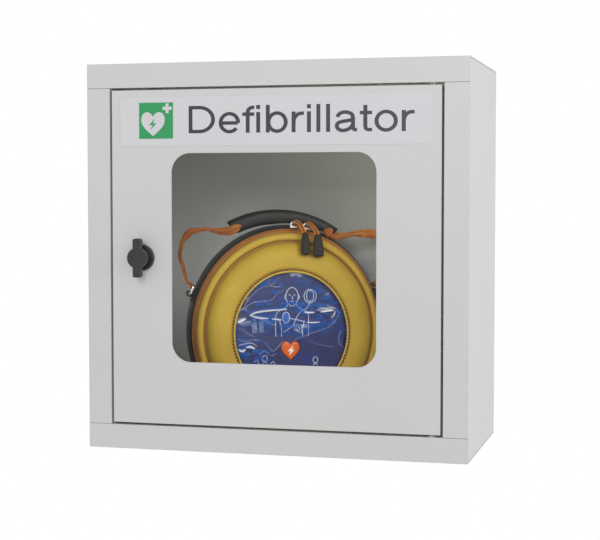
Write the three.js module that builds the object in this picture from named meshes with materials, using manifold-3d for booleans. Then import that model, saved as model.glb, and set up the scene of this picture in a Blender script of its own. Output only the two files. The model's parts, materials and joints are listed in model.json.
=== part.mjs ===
// Defibrillator set for a wall: a sheet-steel cabinet with a hinged window door, and inside it
// a portable defibrillator in a zipped carry case.
// Millimetres. Origin at the centre of the cabinet's back face: +X right, +Y to the wall, +Z up.
import * as THREE from 'three';
import { mergeVertices } from 'three/addons/utils/BufferGeometryUtils.js';
import Module from 'manifold-3d';

const wasm = await Module();
wasm.setup();

// ---- Driving dimensions: cabinet ----
const HALF = 200;               // half of the 400 mm width and height
const DEPTH = 200;
const SHEET = 1.2;              // folded steel sheet
const FRAME = 25;               // face width of the rails and stiles
const LIP = 20;                 // depth of the folded edge round the door opening
const FLANGE = 15;              // inward fold at the back
const SEAM = 0.3;               // gap where two sheets meet
const FIT = 0.1;                // gap between flat pieces that touch
const FRONT = -DEPTH;
const OPENING = HALF - FRAME;
const LIP_END = FRONT + LIP;
const FLANGE_FRONT = -1.5 - SHEET;
const FLANGE_BACK = -1.5;
const CORNER = OPENING - SEAM;  // where stiles stop below the rails

// ---- Driving dimensions: door and lock ----
const DOOR_GAP = 2.5;
const DOOR = OPENING - DOOR_GAP;
const DOOR_DEPTH = 16;
const DOOR_RETURN = 10;
const DOOR_BACK = FRONT + DOOR_DEPTH;
const WINDOW = 215;
const WINDOW_RADIUS = 20;
const PANE = 236;
const PANE_THICK = 3;
const TAPE_THICK = 1;
const LABEL = { width: 326, height: 50, z: 140, thick: 0.3, radius: 3 };
const HINGE = { x: 163.5, y: -193.5, pin: 2, hole: 2.2, bush: 3.3, bore: 2.25 };
const LOCK_X = -140;
const LEDGE = 10;               // keeper that the cam turns behind
const BUFFER = { x: -169.5, z: 150, radius: 3.5 };

// ---- Driving dimensions: carry case, in its own upright frame ----
const OVAL = 0.933;             // width of the case over its height
const CASE_PLACE = [-15, -89, -83.5];
const CASE_TURN = THREE.MathUtils.degToRad(26);
const CASE_RADIUS = 115;
const CASE_LIP = 112;           // the back shell draws in to this at the zip
const CASE_WALL = 3;
const ROUND = 32;               // facets round the case
const STRAP_Y = 12.5;           // strap and rings stand over the back shell
const STRAP_WIDTH = 12;
const STRAP_THICK = 1.6;
const ANCHOR = { x: 100.65, z: 39.9, tilt: THREE.MathUtils.degToRad(19.3), reach: 4.6 };
const RING_BAR = 1.8;
const ARCH = { x: -9, z: 14.2, radius: 110, left: -57, right: 51.5 };
const ZIP_PIVOT_Z = 9.6;
const ZIP_RADIUS = 102.4;
const SLIDER_ANGLES = { left: 4.2, right: 11.7 };

// ---- Driving dimensions: defibrillator ----
const AED_RADIUS = 94;
const AED_WALL = 2.5;
const AED_FRONT = -20;
const AED_BACK = 26;
const AED_EDGE = 18;            // rounding of its front and back edges
const HEART_Z = -19.4;
const POWER = [-27, -45];
const LENS = [33, -46];
const SPEAKER = [54, -8];
const SCREWS = [40, 140, 205, 335].map((deg) => {
  const angle = THREE.MathUtils.degToRad(deg);
  return [OVAL * 74 * Math.cos(angle), 74 * Math.sin(angle)];
});

// ---- Solids from three.js geometry ----
const WELD = 1e-4;

function toSolid(geometry) {
  const plain = geometry.clone();
  for (const name of Object.keys(plain.attributes)) {
    if (name !== 'position') plain.deleteAttribute(name);
  }
  const merged = mergeVertices(plain, WELD);
  const places = merged.attributes.position;
  const corner = (i) => new THREE.Vector3().fromBufferAttribute(places, i);
  const triangles = [];
  let volume = 0;
  for (let i = 0; i < merged.index.count; i += 3) {
    const [a, b, c] = [0, 1, 2].map((step) => merged.index.getX(i + step));
    if (a === b || b === c || c === a) continue;
    triangles.push(a, b, c);
    volume += corner(a).dot(corner(b).cross(corner(c)));
  }
  if (volume < 0) triangles.reverse();
  return new wasm.Manifold(new wasm.Mesh({
    numProp: 3,
    vertProperties: new Float32Array(places.array),
    triVerts: new Uint32Array(triangles),
  }));
}

function toGeometry(body) {
  const mesh = body.getMesh();
  const geometry = new THREE.BufferGeometry();
  geometry.setAttribute('position', new THREE.BufferAttribute(mesh.vertProperties, 3));
  geometry.setIndex(new THREE.BufferAttribute(mesh.triVerts, 1));
  return geometry;
}

function join(...pieces) {
  return toGeometry(pieces.map(toSolid).reduce((whole, piece) => whole.add(piece)));
}

function cut(piece, ...tools) {
  return toGeometry(tools.map(toSolid).reduce((left, tool) => left.subtract(tool), toSolid(piece)));
}

function common(one, other) {
  return toGeometry(toSolid(one).intersect(toSolid(other)));
}

function mirrored(geometry) {
  return geometry.clone().scale(-1, 1, 1);
}

// ---- Basic shapes ----
function polygon(points) {
  return new THREE.Shape(points.map(([x, y]) => new THREE.Vector2(x, y)));
}

function circle(radius, x = 0, y = 0) {
  const shape = new THREE.Shape();
  shape.absarc(x, y, radius, 0, 2 * Math.PI);
  return shape;
}

function roundedRect(x, y, width, height, radius) {
  const [w, h] = [width / 2 - radius, height / 2 - radius];
  const shape = new THREE.Shape();
  shape.absarc(x + w, y + h, radius, 0, Math.PI / 2);
  shape.absarc(x - w, y + h, radius, Math.PI / 2, Math.PI);
  shape.absarc(x - w, y - h, radius, Math.PI, 1.5 * Math.PI);
  shape.absarc(x + w, y - h, radius, 1.5 * Math.PI, 2 * Math.PI);
  return shape;
}

function withHole(shape, ...holes) {
  shape.holes.push(...holes);
  return shape;
}

function arc(x, y, radiusX, radiusY, fromDeg, toDeg, steps) {
  return Array.from({ length: steps + 1 }, (_, i) => {
    const angle = THREE.MathUtils.degToRad(fromDeg + (toDeg - fromDeg) * i / steps);
    return [x + radiusX * Math.cos(angle), y + radiusY * Math.sin(angle)];
  });
}

function box(x0, x1, y0, y1, z0, z1) {
  const geometry = new THREE.BoxGeometry(x1 - x0, y1 - y0, z1 - z0);
  return geometry.translate((x0 + x1) / 2, (y0 + y1) / 2, (z0 + z1) / 2);
}

// Extrudes an (x, z) outline from y0 to y1.
function alongY(shape, y0, y1, curveSegments = 8) {
  const geometry = new THREE.ExtrudeGeometry(shape, { depth: y1 - y0, bevelEnabled: false, curveSegments });
  return geometry.rotateX(Math.PI / 2).translate(0, y1, 0);
}

// Extrudes a (y, z) outline from x0 to x1.
function alongX(shape, x0, x1, curveSegments = 8) {
  const geometry = new THREE.ExtrudeGeometry(shape, { depth: x1 - x0, bevelEnabled: false, curveSegments });
  const [x, y, z] = [[1, 0, 0], [0, 1, 0], [0, 0, 1]].map((axis) => new THREE.Vector3(...axis));
  return geometry.applyMatrix4(new THREE.Matrix4().makeBasis(y, z, x)).translate(x0, 0, 0);
}

// Extrudes an (x, y) outline from z0 to z1.
function alongZ(shape, z0, z1, curveSegments = 8) {
  const geometry = new THREE.ExtrudeGeometry(shape, { depth: z1 - z0, bevelEnabled: false, curveSegments });
  return geometry.translate(0, 0, z0);
}

// Turns a (radius, y) profile about the Y axis. A ring's profile is closed on itself.
function turned(profile, segments) {
  return new THREE.LatheGeometry(profile.map(([r, y]) => new THREE.Vector2(r, y)), segments);
}

function turnedRing(profile, segments) {
  return turned([...profile, profile[0]], segments);
}

// The same, widened or narrowed to the oval of the case.
function oval(profile) {
  return turned(profile, ROUND).scale(OVAL, 1, 1);
}

function ovalRing(profile) {
  return turnedRing(profile, ROUND).scale(OVAL, 1, 1);
}

// Sweeps an outline along a curve that stays in an XZ plane: outline x runs along Y.
function swept(outline, points, steps, curveSegments = 4) {
  const places = points.map((p) => new THREE.Vector3(...p));
  const extrudePath = new THREE.CatmullRomCurve3(places, false, 'centripetal');
  return new THREE.ExtrudeGeometry(outline, { steps, extrudePath, curveSegments });
}

function finish(color, roughness, metalness) {
  return new THREE.MeshStandardMaterial({ color, roughness, metalness });
}

function part(name, geometry, material) {
  const mesh = new THREE.Mesh(toGeometry(toSolid(geometry)), material);
  mesh.name = name;
  return mesh;
}

// ---- Finishes ----
const powderCoat = () => finish(0xd2d2d0, 0.55, 0.1);
const steel = () => finish(0xb8b8b4, 0.35, 0.9);
const blackPlastic = () => finish(0x303032, 0.5, 0);
const caseYellow = () => finish(0xb89336, 0.7, 0);
const strapOrange = () => finish(0x9c6040, 0.85, 0);
const aedShell = () => finish(0x4c5470, 0.45, 0);

// ---- Cabinet ----

// Top sheet, upper rail and the folded edge of the opening, folded from one piece.
function topPanel() {
  const profile = polygon([
    [LIP_END, OPENING], [FRONT, OPENING], [FRONT, HALF], [FLANGE_BACK, HALF],
    [FLANGE_BACK, HALF - FLANGE], [FLANGE_FRONT, HALF - FLANGE], [FLANGE_FRONT, HALF - SHEET],
    [FRONT + SHEET, HALF - SHEET], [FRONT + SHEET, OPENING + SHEET], [LIP_END, OPENING + SHEET],
  ]);
  const corners = [-1, 1].flatMap((side) => {
    const span = (from, to) => (side > 0 ? [from, to] : [-to, -from]);
    return [
      box(...span(CORNER, HALF + 1), FRONT + SHEET, LIP_END + 1, OPENING - 1, OPENING + 2 * SHEET),
      box(...span(HALF - SHEET - SEAM, HALF + 1), FLANGE_FRONT - 1, -1, HALF - FLANGE - 1, HALF - SHEET),
    ];
  });
  const bushHole = alongZ(circle(HINGE.bush + 0.2, HINGE.x, HINGE.y), OPENING - 1, OPENING + 2, 8);
  return cut(alongX(profile, -HALF, HALF), ...corners, bushHole);
}

function upsideDown(geometry) {
  return geometry.clone().scale(1, 1, -1);
}

// Side sheet with its stile; the rails of the top and bottom panels pass over its ends.
function sidePanel() {
  const profile = polygon([
    [OPENING, LIP_END], [OPENING, FRONT], [HALF, FRONT], [HALF, FLANGE_BACK],
    [HALF - FLANGE, FLANGE_BACK], [HALF - FLANGE, FLANGE_FRONT], [HALF - SHEET, FLANGE_FRONT],
    [HALF - SHEET, FRONT + SHEET], [OPENING + SHEET, FRONT + SHEET], [OPENING + SHEET, LIP_END],
  ]);
  const end = HALF - SHEET - SEAM;
  const corners = [-1, 1].flatMap((side) => {
    const span = (from, to) => (side > 0 ? [from, to] : [-to, -from]);
    return [
      box(OPENING - 1, HALF + 1, FRONT - 1, FRONT + SHEET + SEAM, ...span(CORNER, end + 1)),
      box(OPENING - 1, HALF - SHEET, FRONT - 1, LIP_END + 1, ...span(CORNER, end + 1)),
      box(HALF - FLANGE - 1, HALF - SHEET, FLANGE_FRONT - 1, -1, ...span(HALF - FLANGE - SEAM, end + 1)),
    ];
  });
  return cut(alongZ(profile, -end, end), ...corners);
}

// The latch side carries a keeper fold that the cam turns behind.
function leftSidePanel() {
  const keeper = box(-OPENING - SHEET, -OPENING + LEDGE, LIP_END - SHEET, LIP_END, -CORNER, CORNER);
  return join(mirrored(sidePanel()), keeper);
}

function backPanel() {
  const plate = alongY(roundedRect(0, 0, 2 * HALF - 2 * SEAM, 2 * HALF - 2 * SEAM, 1), -SHEET, 0, 2);
  const fixings = [[-1, -1], [1, -1], [-1, 1], [1, 1]].map(([x, z]) => {
    return alongY(circle(4.25, 150 * x, 150 * z), -2, 1, 8);
  });
  return cut(plate, ...fixings);
}

function hingeBush() {
  const flange = alongZ(circle(4.5, HINGE.x, HINGE.y), OPENING - 1, OPENING - FIT, 8);
  const barrel = alongZ(circle(HINGE.bush, HINGE.x, HINGE.y), OPENING - 0.5, OPENING + 2.5, 8);
  const bore = alongZ(circle(HINGE.bore, HINGE.x, HINGE.y), OPENING - 3, OPENING + 4, 8);
  return cut(join(flange, barrel), bore);
}

function doorBuffer(side) {
  const back = LIP_END - SHEET - FIT;
  return alongY(circle(BUFFER.radius, BUFFER.x, side * BUFFER.z), DOOR_BACK + FIT, back, 8);
}

function cabinet() {
  const group = new THREE.Group();
  group.add(
    part('top_panel', topPanel(), powderCoat()),
    part('bottom_panel', upsideDown(topPanel()), powderCoat()),
    part('left_side_panel', leftSidePanel(), powderCoat()),
    part('right_side_panel', sidePanel(), powderCoat()),
    part('back_panel', backPanel(), powderCoat()),
    part('hinge_bush_top', hingeBush(), blackPlastic()),
    part('hinge_bush_bottom', upsideDown(hingeBush()), blackPlastic()),
    part('door_buffer_upper', doorBuffer(1), blackPlastic()),
    part('door_buffer_lower', doorBuffer(-1), blackPlastic()),
  );
  return group;
}

// ---- Door ----

// A shallow pan with inward returns, cut for the window, the lock and the hinge pins.
function doorPanel() {
  const inner = DOOR - SHEET;
  const mouth = DOOR - DOOR_RETURN;
  const pan = cut(
    box(-DOOR, DOOR, FRONT, DOOR_BACK, -DOOR, DOOR),
    box(-inner, inner, FRONT + SHEET, DOOR_BACK - SHEET, -inner, inner),
    box(-mouth, mouth, FRONT + SHEET, DOOR_BACK + 1, -mouth, mouth),
  );
  return cut(
    pan,
    alongY(roundedRect(0, 0, WINDOW, WINDOW, WINDOW_RADIUS), FRONT - 1, FRONT + 3, 6),
    alongY(circle(9.3, LOCK_X, 0), FRONT - 1, FRONT + 3, 12),
    alongZ(circle(HINGE.hole, HINGE.x, HINGE.y), -DOOR - 1, DOOR + 1, 8),
  );
}

function hingePin() {
  const shaft = alongZ(circle(HINGE.pin, HINGE.x, HINGE.y), DOOR - 4.5, OPENING + 3.2, 8);
  const head = alongZ(circle(4, HINGE.x, HINGE.y), DOOR - 2.6, DOOR - SHEET - 0.2, 8);
  return join(shaft, head);
}

function lockRosette() {
  const profile = [
    [5.3, -188], [9, -188], [9, FRONT - FIT], [13.8, FRONT - FIT], [13.8, FRONT - 2], [12.8, FRONT - 3],
    [5.3, FRONT - 3],
  ];
  return turnedRing(profile, 32).translate(LOCK_X, 0, 0);
}

function lockNut() {
  const hexagon = polygon(arc(LOCK_X, 0, 24 / Math.sqrt(3), 24 / Math.sqrt(3), 0, 300, 5));
  const face = FRONT + SHEET + FIT;
  return alongY(withHole(hexagon, circle(9.3, LOCK_X, 0)), face, face + 5, 12);
}

function door() {
  const group = new THREE.Group();
  const label = roundedRect(0, LABEL.z, LABEL.width, LABEL.height, LABEL.radius);
  const labelBack = FRONT - 0.05;
  const paneFront = FRONT + SHEET + TAPE_THICK + 2 * FIT;
  const tape = withHole(
    roundedRect(0, 0, PANE - 2, PANE - 2, WINDOW_RADIUS),
    roundedRect(0, 0, WINDOW + 4, WINDOW + 4, WINDOW_RADIUS),
  );
  group.add(
    part('door_panel', doorPanel(), powderCoat()),
    part('door_label', alongY(label, labelBack - LABEL.thick, labelBack, 2), finish(0xcfcfd0, 0.4, 0)),
    part('window_pane', box(-PANE / 2, PANE / 2, paneFront, paneFront + PANE_THICK, -PANE / 2, PANE / 2),
      finish(0xdde2e2, 0.05, 0)),
    part('window_tape', alongY(tape, FRONT + SHEET + FIT, paneFront - FIT, 4), blackPlastic()),
    part('hinge_pin_top', hingePin(), steel()),
    part('hinge_pin_bottom', upsideDown(hingePin()), steel()),
    part('lock_rosette', lockRosette(), blackPlastic()),
    part('lock_nut', lockNut(), steel()),
  );
  return group;
}

// ---- Latch: knob, square spindle and cam ----
const KNOB_FRONT = -216.5;
const KNOB_BACK = -209.5;
const SPINDLE_END = -177;

function knob() {
  const solid = join(
    alongY(circle(9, LOCK_X, 0), KNOB_BACK - 1, FRONT - 3.3, 12),
    alongY(circle(10.5, LOCK_X, 0), KNOB_FRONT, KNOB_BACK, 12),
    alongY(roundedRect(LOCK_X, 0, 8.7, 40, 2.2), KNOB_FRONT, KNOB_BACK, 4),
  );
  return cut(solid, box(LOCK_X - 3.7, LOCK_X + 3.7, KNOB_BACK - 1, FRONT, -3.7, 3.7));
}

function spindle() {
  const bar = box(LOCK_X - 3.5, LOCK_X + 3.5, KNOB_BACK - 0.5, SPINDLE_END, -3.5, 3.5);
  return cut(bar, alongY(circle(2.2, LOCK_X, 0), SPINDLE_END - 10, SPINDLE_END + 1, 6));
}

// Hangs down when the knob stands upright; a quarter turn carries it behind the keeper.
function cam() {
  const blade = alongY(roundedRect(LOCK_X, -12.5, 12, 41, 4), -179.6, -177.1, 4);
  return cut(blade, box(LOCK_X - 3.65, LOCK_X + 3.65, -181, -176, -3.65, 3.65));
}

function camScrew() {
  const head = alongY(circle(4.5, LOCK_X, 0), SPINDLE_END + FIT, SPINDLE_END + 2.5, 8);
  return join(head, alongY(circle(2, LOCK_X, 0), SPINDLE_END - 9.5, SPINDLE_END + 1, 6));
}

function latch() {
  const group = new THREE.Group();
  group.add(
    part('knob', knob(), blackPlastic()),
    part('lock_spindle', spindle(), steel()),
    part('lock_cam', cam(), steel()),
    part('cam_screw', camScrew(), steel()),
  );
  return group;
}

// ---- Carry case. Profiles are (radius, y) about the case's axis; its face looks to -Y. ----
function caseBackShell() {
  const [edge, bend, back] = [CASE_RADIUS, 22, 46];
  return oval([
    [0, back], ...arc(edge - bend, back - bend, bend, bend, 90, 0, 5), [edge, 14], [CASE_LIP, 3],
    [CASE_LIP - CASE_WALL, 3], [edge - CASE_WALL, 14],
    ...arc(edge - bend, back - bend, bend - CASE_WALL, bend - CASE_WALL, 0, 90, 5), [0, back - CASE_WALL],
  ]);
}

// Outer bead, a narrow groove, then the domed ring that frames the window.
function caseFrontShell() {
  return ovalRing([
    [107, -5], ...arc(102, -9, 5, 5, 0, -140, 4), [97.4, -12], ...arc(78, -13, 18.5, 14.5, 0, -90, 5),
    [69, -27.5], [67, -26], [67, -23.5], ...arc(78, -13, 15, 10.5, -90, 0, 3), [95, -9], [103, -5],
  ]);
}

function caseZip() {
  return ovalRing([
    [109.4, 2.6], [111.4, 2.6], [110.2, 0.3], [112, -0.2], [110.9, -2.4], [108.85, -2.3], [107.6, -4.7],
    [105.4, -4.7],
  ]);
}

function caseFoam() {
  return oval([
    [0, 42.5], ...arc(90.5, 24, 18.5, 18.5, 90, 0, 4), [109, 6], [94.8, 6], [94.8, 26.5], [0, 26.5],
  ]);
}

// A sewn tab that stands off the back shell and holds a strap ring.
function strapAnchor() {
  const reach = ANCHOR.reach;
  const loop = alongY(circle(3.6, reach, 0), STRAP_Y - 3, STRAP_Y + 3, 8);
  const base = box(0.4, 1.6, STRAP_Y - 5, STRAP_Y + 5, -7, 4.6);
  const eye = alongY(circle(2.3, reach, 0), STRAP_Y - 6, STRAP_Y + 6, 8);
  return cut(join(loop, base), eye).rotateY(-ANCHOR.tilt).translate(ANCHOR.x, 0, ANCHOR.z);
}

function carryCase() {
  const group = new THREE.Group();
  group.add(
    part('case_back_shell', caseBackShell(), blackPlastic()),
    part('case_front_shell', caseFrontShell(), caseYellow()),
    part('case_zip', caseZip(), strapOrange()),
    part('case_window_piping', ovalRing(arc(65.3, -27, 1.5, 1.5, 0, 300, 5)), caseYellow()),
    part('case_window_film', oval([[0, -25.2], [66.6, -25.2], [66.6, -24.4], [0, -24.4]]),
      finish(0xaab0bd, 0.1, 0)),
    part('case_foam_insert', caseFoam(), finish(0x3a3a3c, 0.9, 0)),
    part('strap_anchor_left', mirrored(strapAnchor()), blackPlastic()),
    part('strap_anchor_right', strapAnchor(), blackPlastic()),
  );
  return group;
}

// ---- Handle: two rings, webbing strap and an arched grip ----
const PIN_X = ANCHOR.x + ANCHOR.reach * Math.cos(ANCHOR.tilt);
const PIN_Z = ANCHOR.z + ANCHOR.reach * Math.sin(ANCHOR.tilt);
const RING_REACH = 8.2;                                      // between the ring's two long bars
const RING_LEAN = THREE.MathUtils.degToRad(112);
const BAR_X = PIN_X + RING_REACH * Math.cos(RING_LEAN);
const BAR_Z = PIN_Z + RING_REACH * Math.sin(RING_LEAN);

function strapRing() {
  const shape = withHole(roundedRect(RING_REACH / 2, STRAP_Y, RING_REACH + RING_BAR, 16.2, 1.5),
    roundedRect(RING_REACH / 2, STRAP_Y, RING_REACH - RING_BAR, 12.6, 0.6));
  return alongZ(shape, -RING_BAR / 2, RING_BAR / 2, 2).rotateY(-RING_LEAN).translate(PIN_X, 0, PIN_Z);
}

function archPoints(from, to, steps) {
  const angle = (x) => Math.asin((x - ARCH.x) / ARCH.radius);
  return Array.from({ length: steps + 1 }, (_, i) => {
    const a = angle(from) + (angle(to) - angle(from)) * i / steps;
    return [ARCH.x + ARCH.radius * Math.sin(a), STRAP_Y, ARCH.z + ARCH.radius * Math.cos(a)];
  });
}

// Leaves each ring outward, bows over the shoulder of the case and runs through the grip.
function carryStrap() {
  const shoulder = [[BAR_X + 1.8, BAR_Z + 1.8], [108, 56], [112.3, 70], [115.8, 87]];
  const left = [...shoulder, [113.2, 101], [105, 110.4], [92, 113.4], [79, 113.3], [67, 110.9]];
  const right = [...shoulder, [112, 98], [101, 106], [84, 106.5], [72, 104.8], [61, 101.9]];
  const path = [
    ...left.map(([x, z]) => [-x, STRAP_Y, z]),
    ...archPoints(ARCH.left + 4, ARCH.right - 4, 6),
    ...right.reverse().map(([x, z]) => [x, STRAP_Y, z]),
  ];
  const [w, t] = [STRAP_WIDTH / 2, STRAP_THICK / 2];
  const webbing = swept(polygon([[w, t], [-w, t], [-w, -t], [w, -t]]), path, 48);
  const ends = [-1, 1].map((sign) => {
    const loop = withHole(circle(3.2, sign * BAR_X, BAR_Z), circle(1.6, sign * BAR_X, BAR_Z));
    return alongY(loop, STRAP_Y - STRAP_WIDTH / 2, STRAP_Y + STRAP_WIDTH / 2, 6);
  });
  return join(webbing, ...ends);
}

// Its underside is relieved to clear the case.
function handleGrip() {
  const slot = polygon([[7, 2.2], [-7, 2.2], [-7, -2.2], [7, -2.2]]);
  const section = withHole(roundedRect(0, 0, 22, 16, 7), slot);
  const sleeve = swept(section, archPoints(ARCH.left, ARCH.right, 8), 12, 3);
  return cut(sleeve, alongY(circle(CASE_RADIUS + 2), STRAP_Y - 15, STRAP_Y + 15, 24).scale(OVAL, 1, 1));
}

function handle() {
  const group = new THREE.Group();
  group.add(
    part('strap_ring_left', mirrored(strapRing()), steel()),
    part('strap_ring_right', strapRing(), steel()),
    part('carry_strap', carryStrap(), strapOrange()),
    part('handle_grip', handleGrip(), blackPlastic()),
  );
  return group;
}

// ---- Zip sliders, drawn at the top of the case and turned to their places ----
const SLIDER_BASE = ZIP_PIVOT_Z + ZIP_RADIUS + 0.5;
const WIRE_Y = -2;
const WIRE_Z = SLIDER_BASE + 5.7;

function zipSlider() {
  const body = box(-5, 5, -5.5, 1.5, SLIDER_BASE, SLIDER_BASE + 1.9);
  const middle = WIRE_Z - 2.2;
  const hoop = withHole(roundedRect(0, middle, 8.8, 6, 2), roundedRect(0, middle, 5.6, 2.8, 0.8));
  return join(body, alongY(hoop, WIRE_Y - 0.8, WIRE_Y + 0.8, 3)).translate(0, 0, -ZIP_PIVOT_Z);
}

// ---- Zip pulls, drawn round the wire they hang from: a cord with a moulded end ----
const PULL_TOP = [7.5, -20.5, -11];
const PULL_TIP = [6.5, -31, -33.2];

function zipCord() {
  const eye = alongX(withHole(circle(3.1), circle(1.5)), -0.8, 0.8, 6);
  const end = [PULL_TOP[0], PULL_TOP[1] + 0.4, PULL_TOP[2] + 0.6];
  const path = [[0, -2.3, -0.5], [2, -10, -1.2], [5.5, -17, -6.5], end];
  return join(eye, swept(circle(0.9), path, 5, 3));
}

function zipPullEnd() {
  const [top, tip] = [PULL_TOP, PULL_TIP].map((place) => new THREE.Vector3(...place));
  const length = top.distanceTo(tip);
  const outline = polygon([
    [-2, 0], [2, 0], [4.75, -6], [4.2, 1 - length], [3.2, -length],
    [-3.2, -length], [-4.2, 1 - length], [-4.75, -6],
  ]);
  const lean = Math.atan2(top.y - tip.y, top.z - tip.z);
  return alongY(outline, -2.5, 2.5).rotateX(-lean).translate(...PULL_TOP);
}

function zipParts() {
  const group = new THREE.Group();
  for (const [side, degrees] of Object.entries(SLIDER_ANGLES)) {
    const turn = new THREE.Group();
    turn.position.set(0, 0, ZIP_PIVOT_Z);
    turn.rotation.y = THREE.MathUtils.degToRad(degrees);
    const hang = new THREE.Group();
    hang.position.set(0, WIRE_Y, WIRE_Z - ZIP_PIVOT_Z);
    hang.rotation.y = -turn.rotation.y;
    hang.add(
      part(`zip_cord_${side}`, zipCord(), strapOrange()),
      part(`zip_pull_end_${side}`, zipPullEnd(), blackPlastic()),
    );
    turn.add(part(`zip_slider_${side}`, zipSlider(), steel()), hang);
    group.add(turn);
  }
  return group;
}

// ---- Defibrillator ----
function heart(scale) {
  const shape = new THREE.Shape();
  const [w, h] = [9.7 * scale, 9.8 * scale];
  shape.moveTo(0, HEART_Z - h);
  shape.bezierCurveTo(0.35 * w, HEART_Z - 0.62 * h, w, HEART_Z - 0.25 * h, w, HEART_Z + 0.35 * h);
  shape.bezierCurveTo(w, HEART_Z + 1.15 * h, 0.25 * w, HEART_Z + 1.2 * h, 0, HEART_Z + 0.62 * h);
  shape.bezierCurveTo(-0.25 * w, HEART_Z + 1.2 * h, -w, HEART_Z + 1.15 * h, -w, HEART_Z + 0.35 * h);
  shape.bezierCurveTo(-w, HEART_Z - 0.25 * h, -0.35 * w, HEART_Z - 0.62 * h, 0, HEART_Z - h);
  return shape;
}

function speakerSlots(y0, y1) {
  return [-1, 0, 1].map((row) => {
    return alongY(roundedRect(SPEAKER[0] + 8, SPEAKER[1] + 4 * row, 7, 1.6, 0.7), y0, y1, 2);
  });
}

function faceOpenings(y0, y1) {
  return [
    alongY(heart(1.06), y0, y1, 5),
    alongY(circle(8.5, ...POWER), y0, y1, 10),
    alongY(circle(3.4, ...LENS), y0, y1, 6),
    ...speakerSlots(y0, y1),
  ];
}

function aedFrontHousing() {
  const centre = [AED_RADIUS - AED_EDGE, AED_FRONT + AED_EDGE];
  const shell = oval([
    [0, AED_FRONT], ...arc(...centre, AED_EDGE, AED_EDGE, -90, 0, 4),
    [AED_RADIUS, 1.5], [AED_RADIUS - AED_WALL, 1.5],
    ...arc(...centre, AED_EDGE - AED_WALL, AED_EDGE - AED_WALL, 0, -90, 4), [0, AED_FRONT + AED_WALL],
  ]);
  const inside = AED_FRONT + AED_WALL;
  const bosses = SCREWS.map(([x, z]) => alongY(circle(4.2, x, z), inside - 0.5, 13.6, 6));
  const pilots = SCREWS.map(([x, z]) => alongY(circle(1.9, x, z), -5, 15, 5));
  const tabSlot = box(-12.6, 12.6, -4.6, -0.9, -AED_RADIUS - 2, -84);
  return cut(join(shell, ...bosses), ...pilots, ...faceOpenings(AED_FRONT - 1, inside + 1), tabSlot);
}

function aedRearHousing() {
  const centre = [AED_RADIUS - AED_EDGE, AED_BACK - AED_EDGE];
  const shell = oval([
    [0, AED_BACK], ...arc(...centre, AED_EDGE, AED_EDGE, 90, 0, 4),
    [AED_RADIUS, 2.5], [AED_RADIUS - AED_WALL, 2.5],
    ...arc(...centre, AED_EDGE - AED_WALL, AED_EDGE - AED_WALL, 0, 90, 4), [0, AED_BACK - AED_WALL],
  ]);
  const bosses = SCREWS.map(([x, z]) => alongY(circle(5.4, x, z), 14, AED_BACK - 1, 6));
  const wells = SCREWS.map(([x, z]) => alongY(circle(3.9, x, z), 18, AED_BACK + 1, 6));
  const holes = SCREWS.map(([x, z]) => alongY(circle(1.9, x, z), 13, 19, 5));
  return cut(join(shell, ...bosses), ...wells, ...holes);
}

function aedScrew([x, z]) {
  return join(alongY(circle(3.5, x, z), 18.3, 20.6, 6), alongY(circle(1.5, x, z), -4, 19, 4));
}

function aedFaceOverlay() {
  return cut(oval([[0, -20.6], [69, -20.6], [69, -20.25], [0, -20.25]]), ...faceOpenings(-22, -19));
}

// Each button's flange stops behind the face; its stem ends just off what it presses on.
function pushButton(cap, x, z, flangeRadius, stemEnd) {
  const flange = alongY(circle(flangeRadius, x, z), -16.6, -15, 8);
  return join(cap, flange, alongY(circle(2, x, z), -15.5, stemEnd, 5));
}

function circuitBoard() {
  const disc = turned([[0, -8], [84, -8], [84, -6.4], [0, -6.4]], ROUND).scale(OVAL, 1, 1);
  const clearances = SCREWS.map(([x, z]) => alongY(circle(4.7, x, z), -9, -5, 6));
  return cut(disc, box(-90, 90, -9, -5, -90, -33), ...clearances);
}

// Drawer in the foot of the unit that holds the cells and the electrode pads.
function cartridgeTray() {
  const block = (inset, bottom, top) => common(
    box(-38 + inset, 38 - inset, -11 + inset, 21 - inset, bottom, top),
    oval([[0, -12], [87 - inset, -12], [90 - inset, -7], [90 - inset, 9], [81.5 - inset, 22], [0, 22]]),
  );
  return cut(block(0, -90, -40), block(2, -88, -39), box(-12.6, 12.6, -4.6, -0.9, -91, -84));
}

function aedInternals(group) {
  const cell = (side) => alongX(circle(8.5, 9, -52), side > 0 ? 0.8 : -35.3, side > 0 ? 35.3 : -0.8, 8);
  const green = () => finish(0x3f8f5a, 0.5, 0);
  group.add(
    part('aed_circuit_board', circuitBoard(), finish(0x1f5a3a, 0.5, 0)),
    part('aed_capacitor', alongX(circle(13, 8.5, 28), -14, 32, 10), finish(0x2c3e66, 0.4, 0)),
    part('aed_inductor', alongY(withHole(circle(11, -42, 26), circle(5, -42, 26)), -6, 4, 8),
      finish(0xa8643a, 0.4, 0.6)),
    part('aed_speaker', alongY(circle(13, ...SPEAKER), -17.2, -10.2, 10), blackPlastic()),
    part('aed_cartridge_tray', cartridgeTray(), finish(0xd8d8d4, 0.5, 0)),
    part('aed_battery_cell_left', cell(-1), finish(0x6a7a92, 0.4, 0.3)),
    part('aed_battery_cell_right', cell(1), finish(0x6a7a92, 0.4, 0.3)),
    part('aed_pads_packet', box(-30, 30, -8.4, -1.4, -78, -44), finish(0xdcdcdc, 0.4, 0.2)),
    part('aed_pads_tab', box(-12, 12, -4, -1.5, -101, -79), green()),
  );
}

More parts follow.
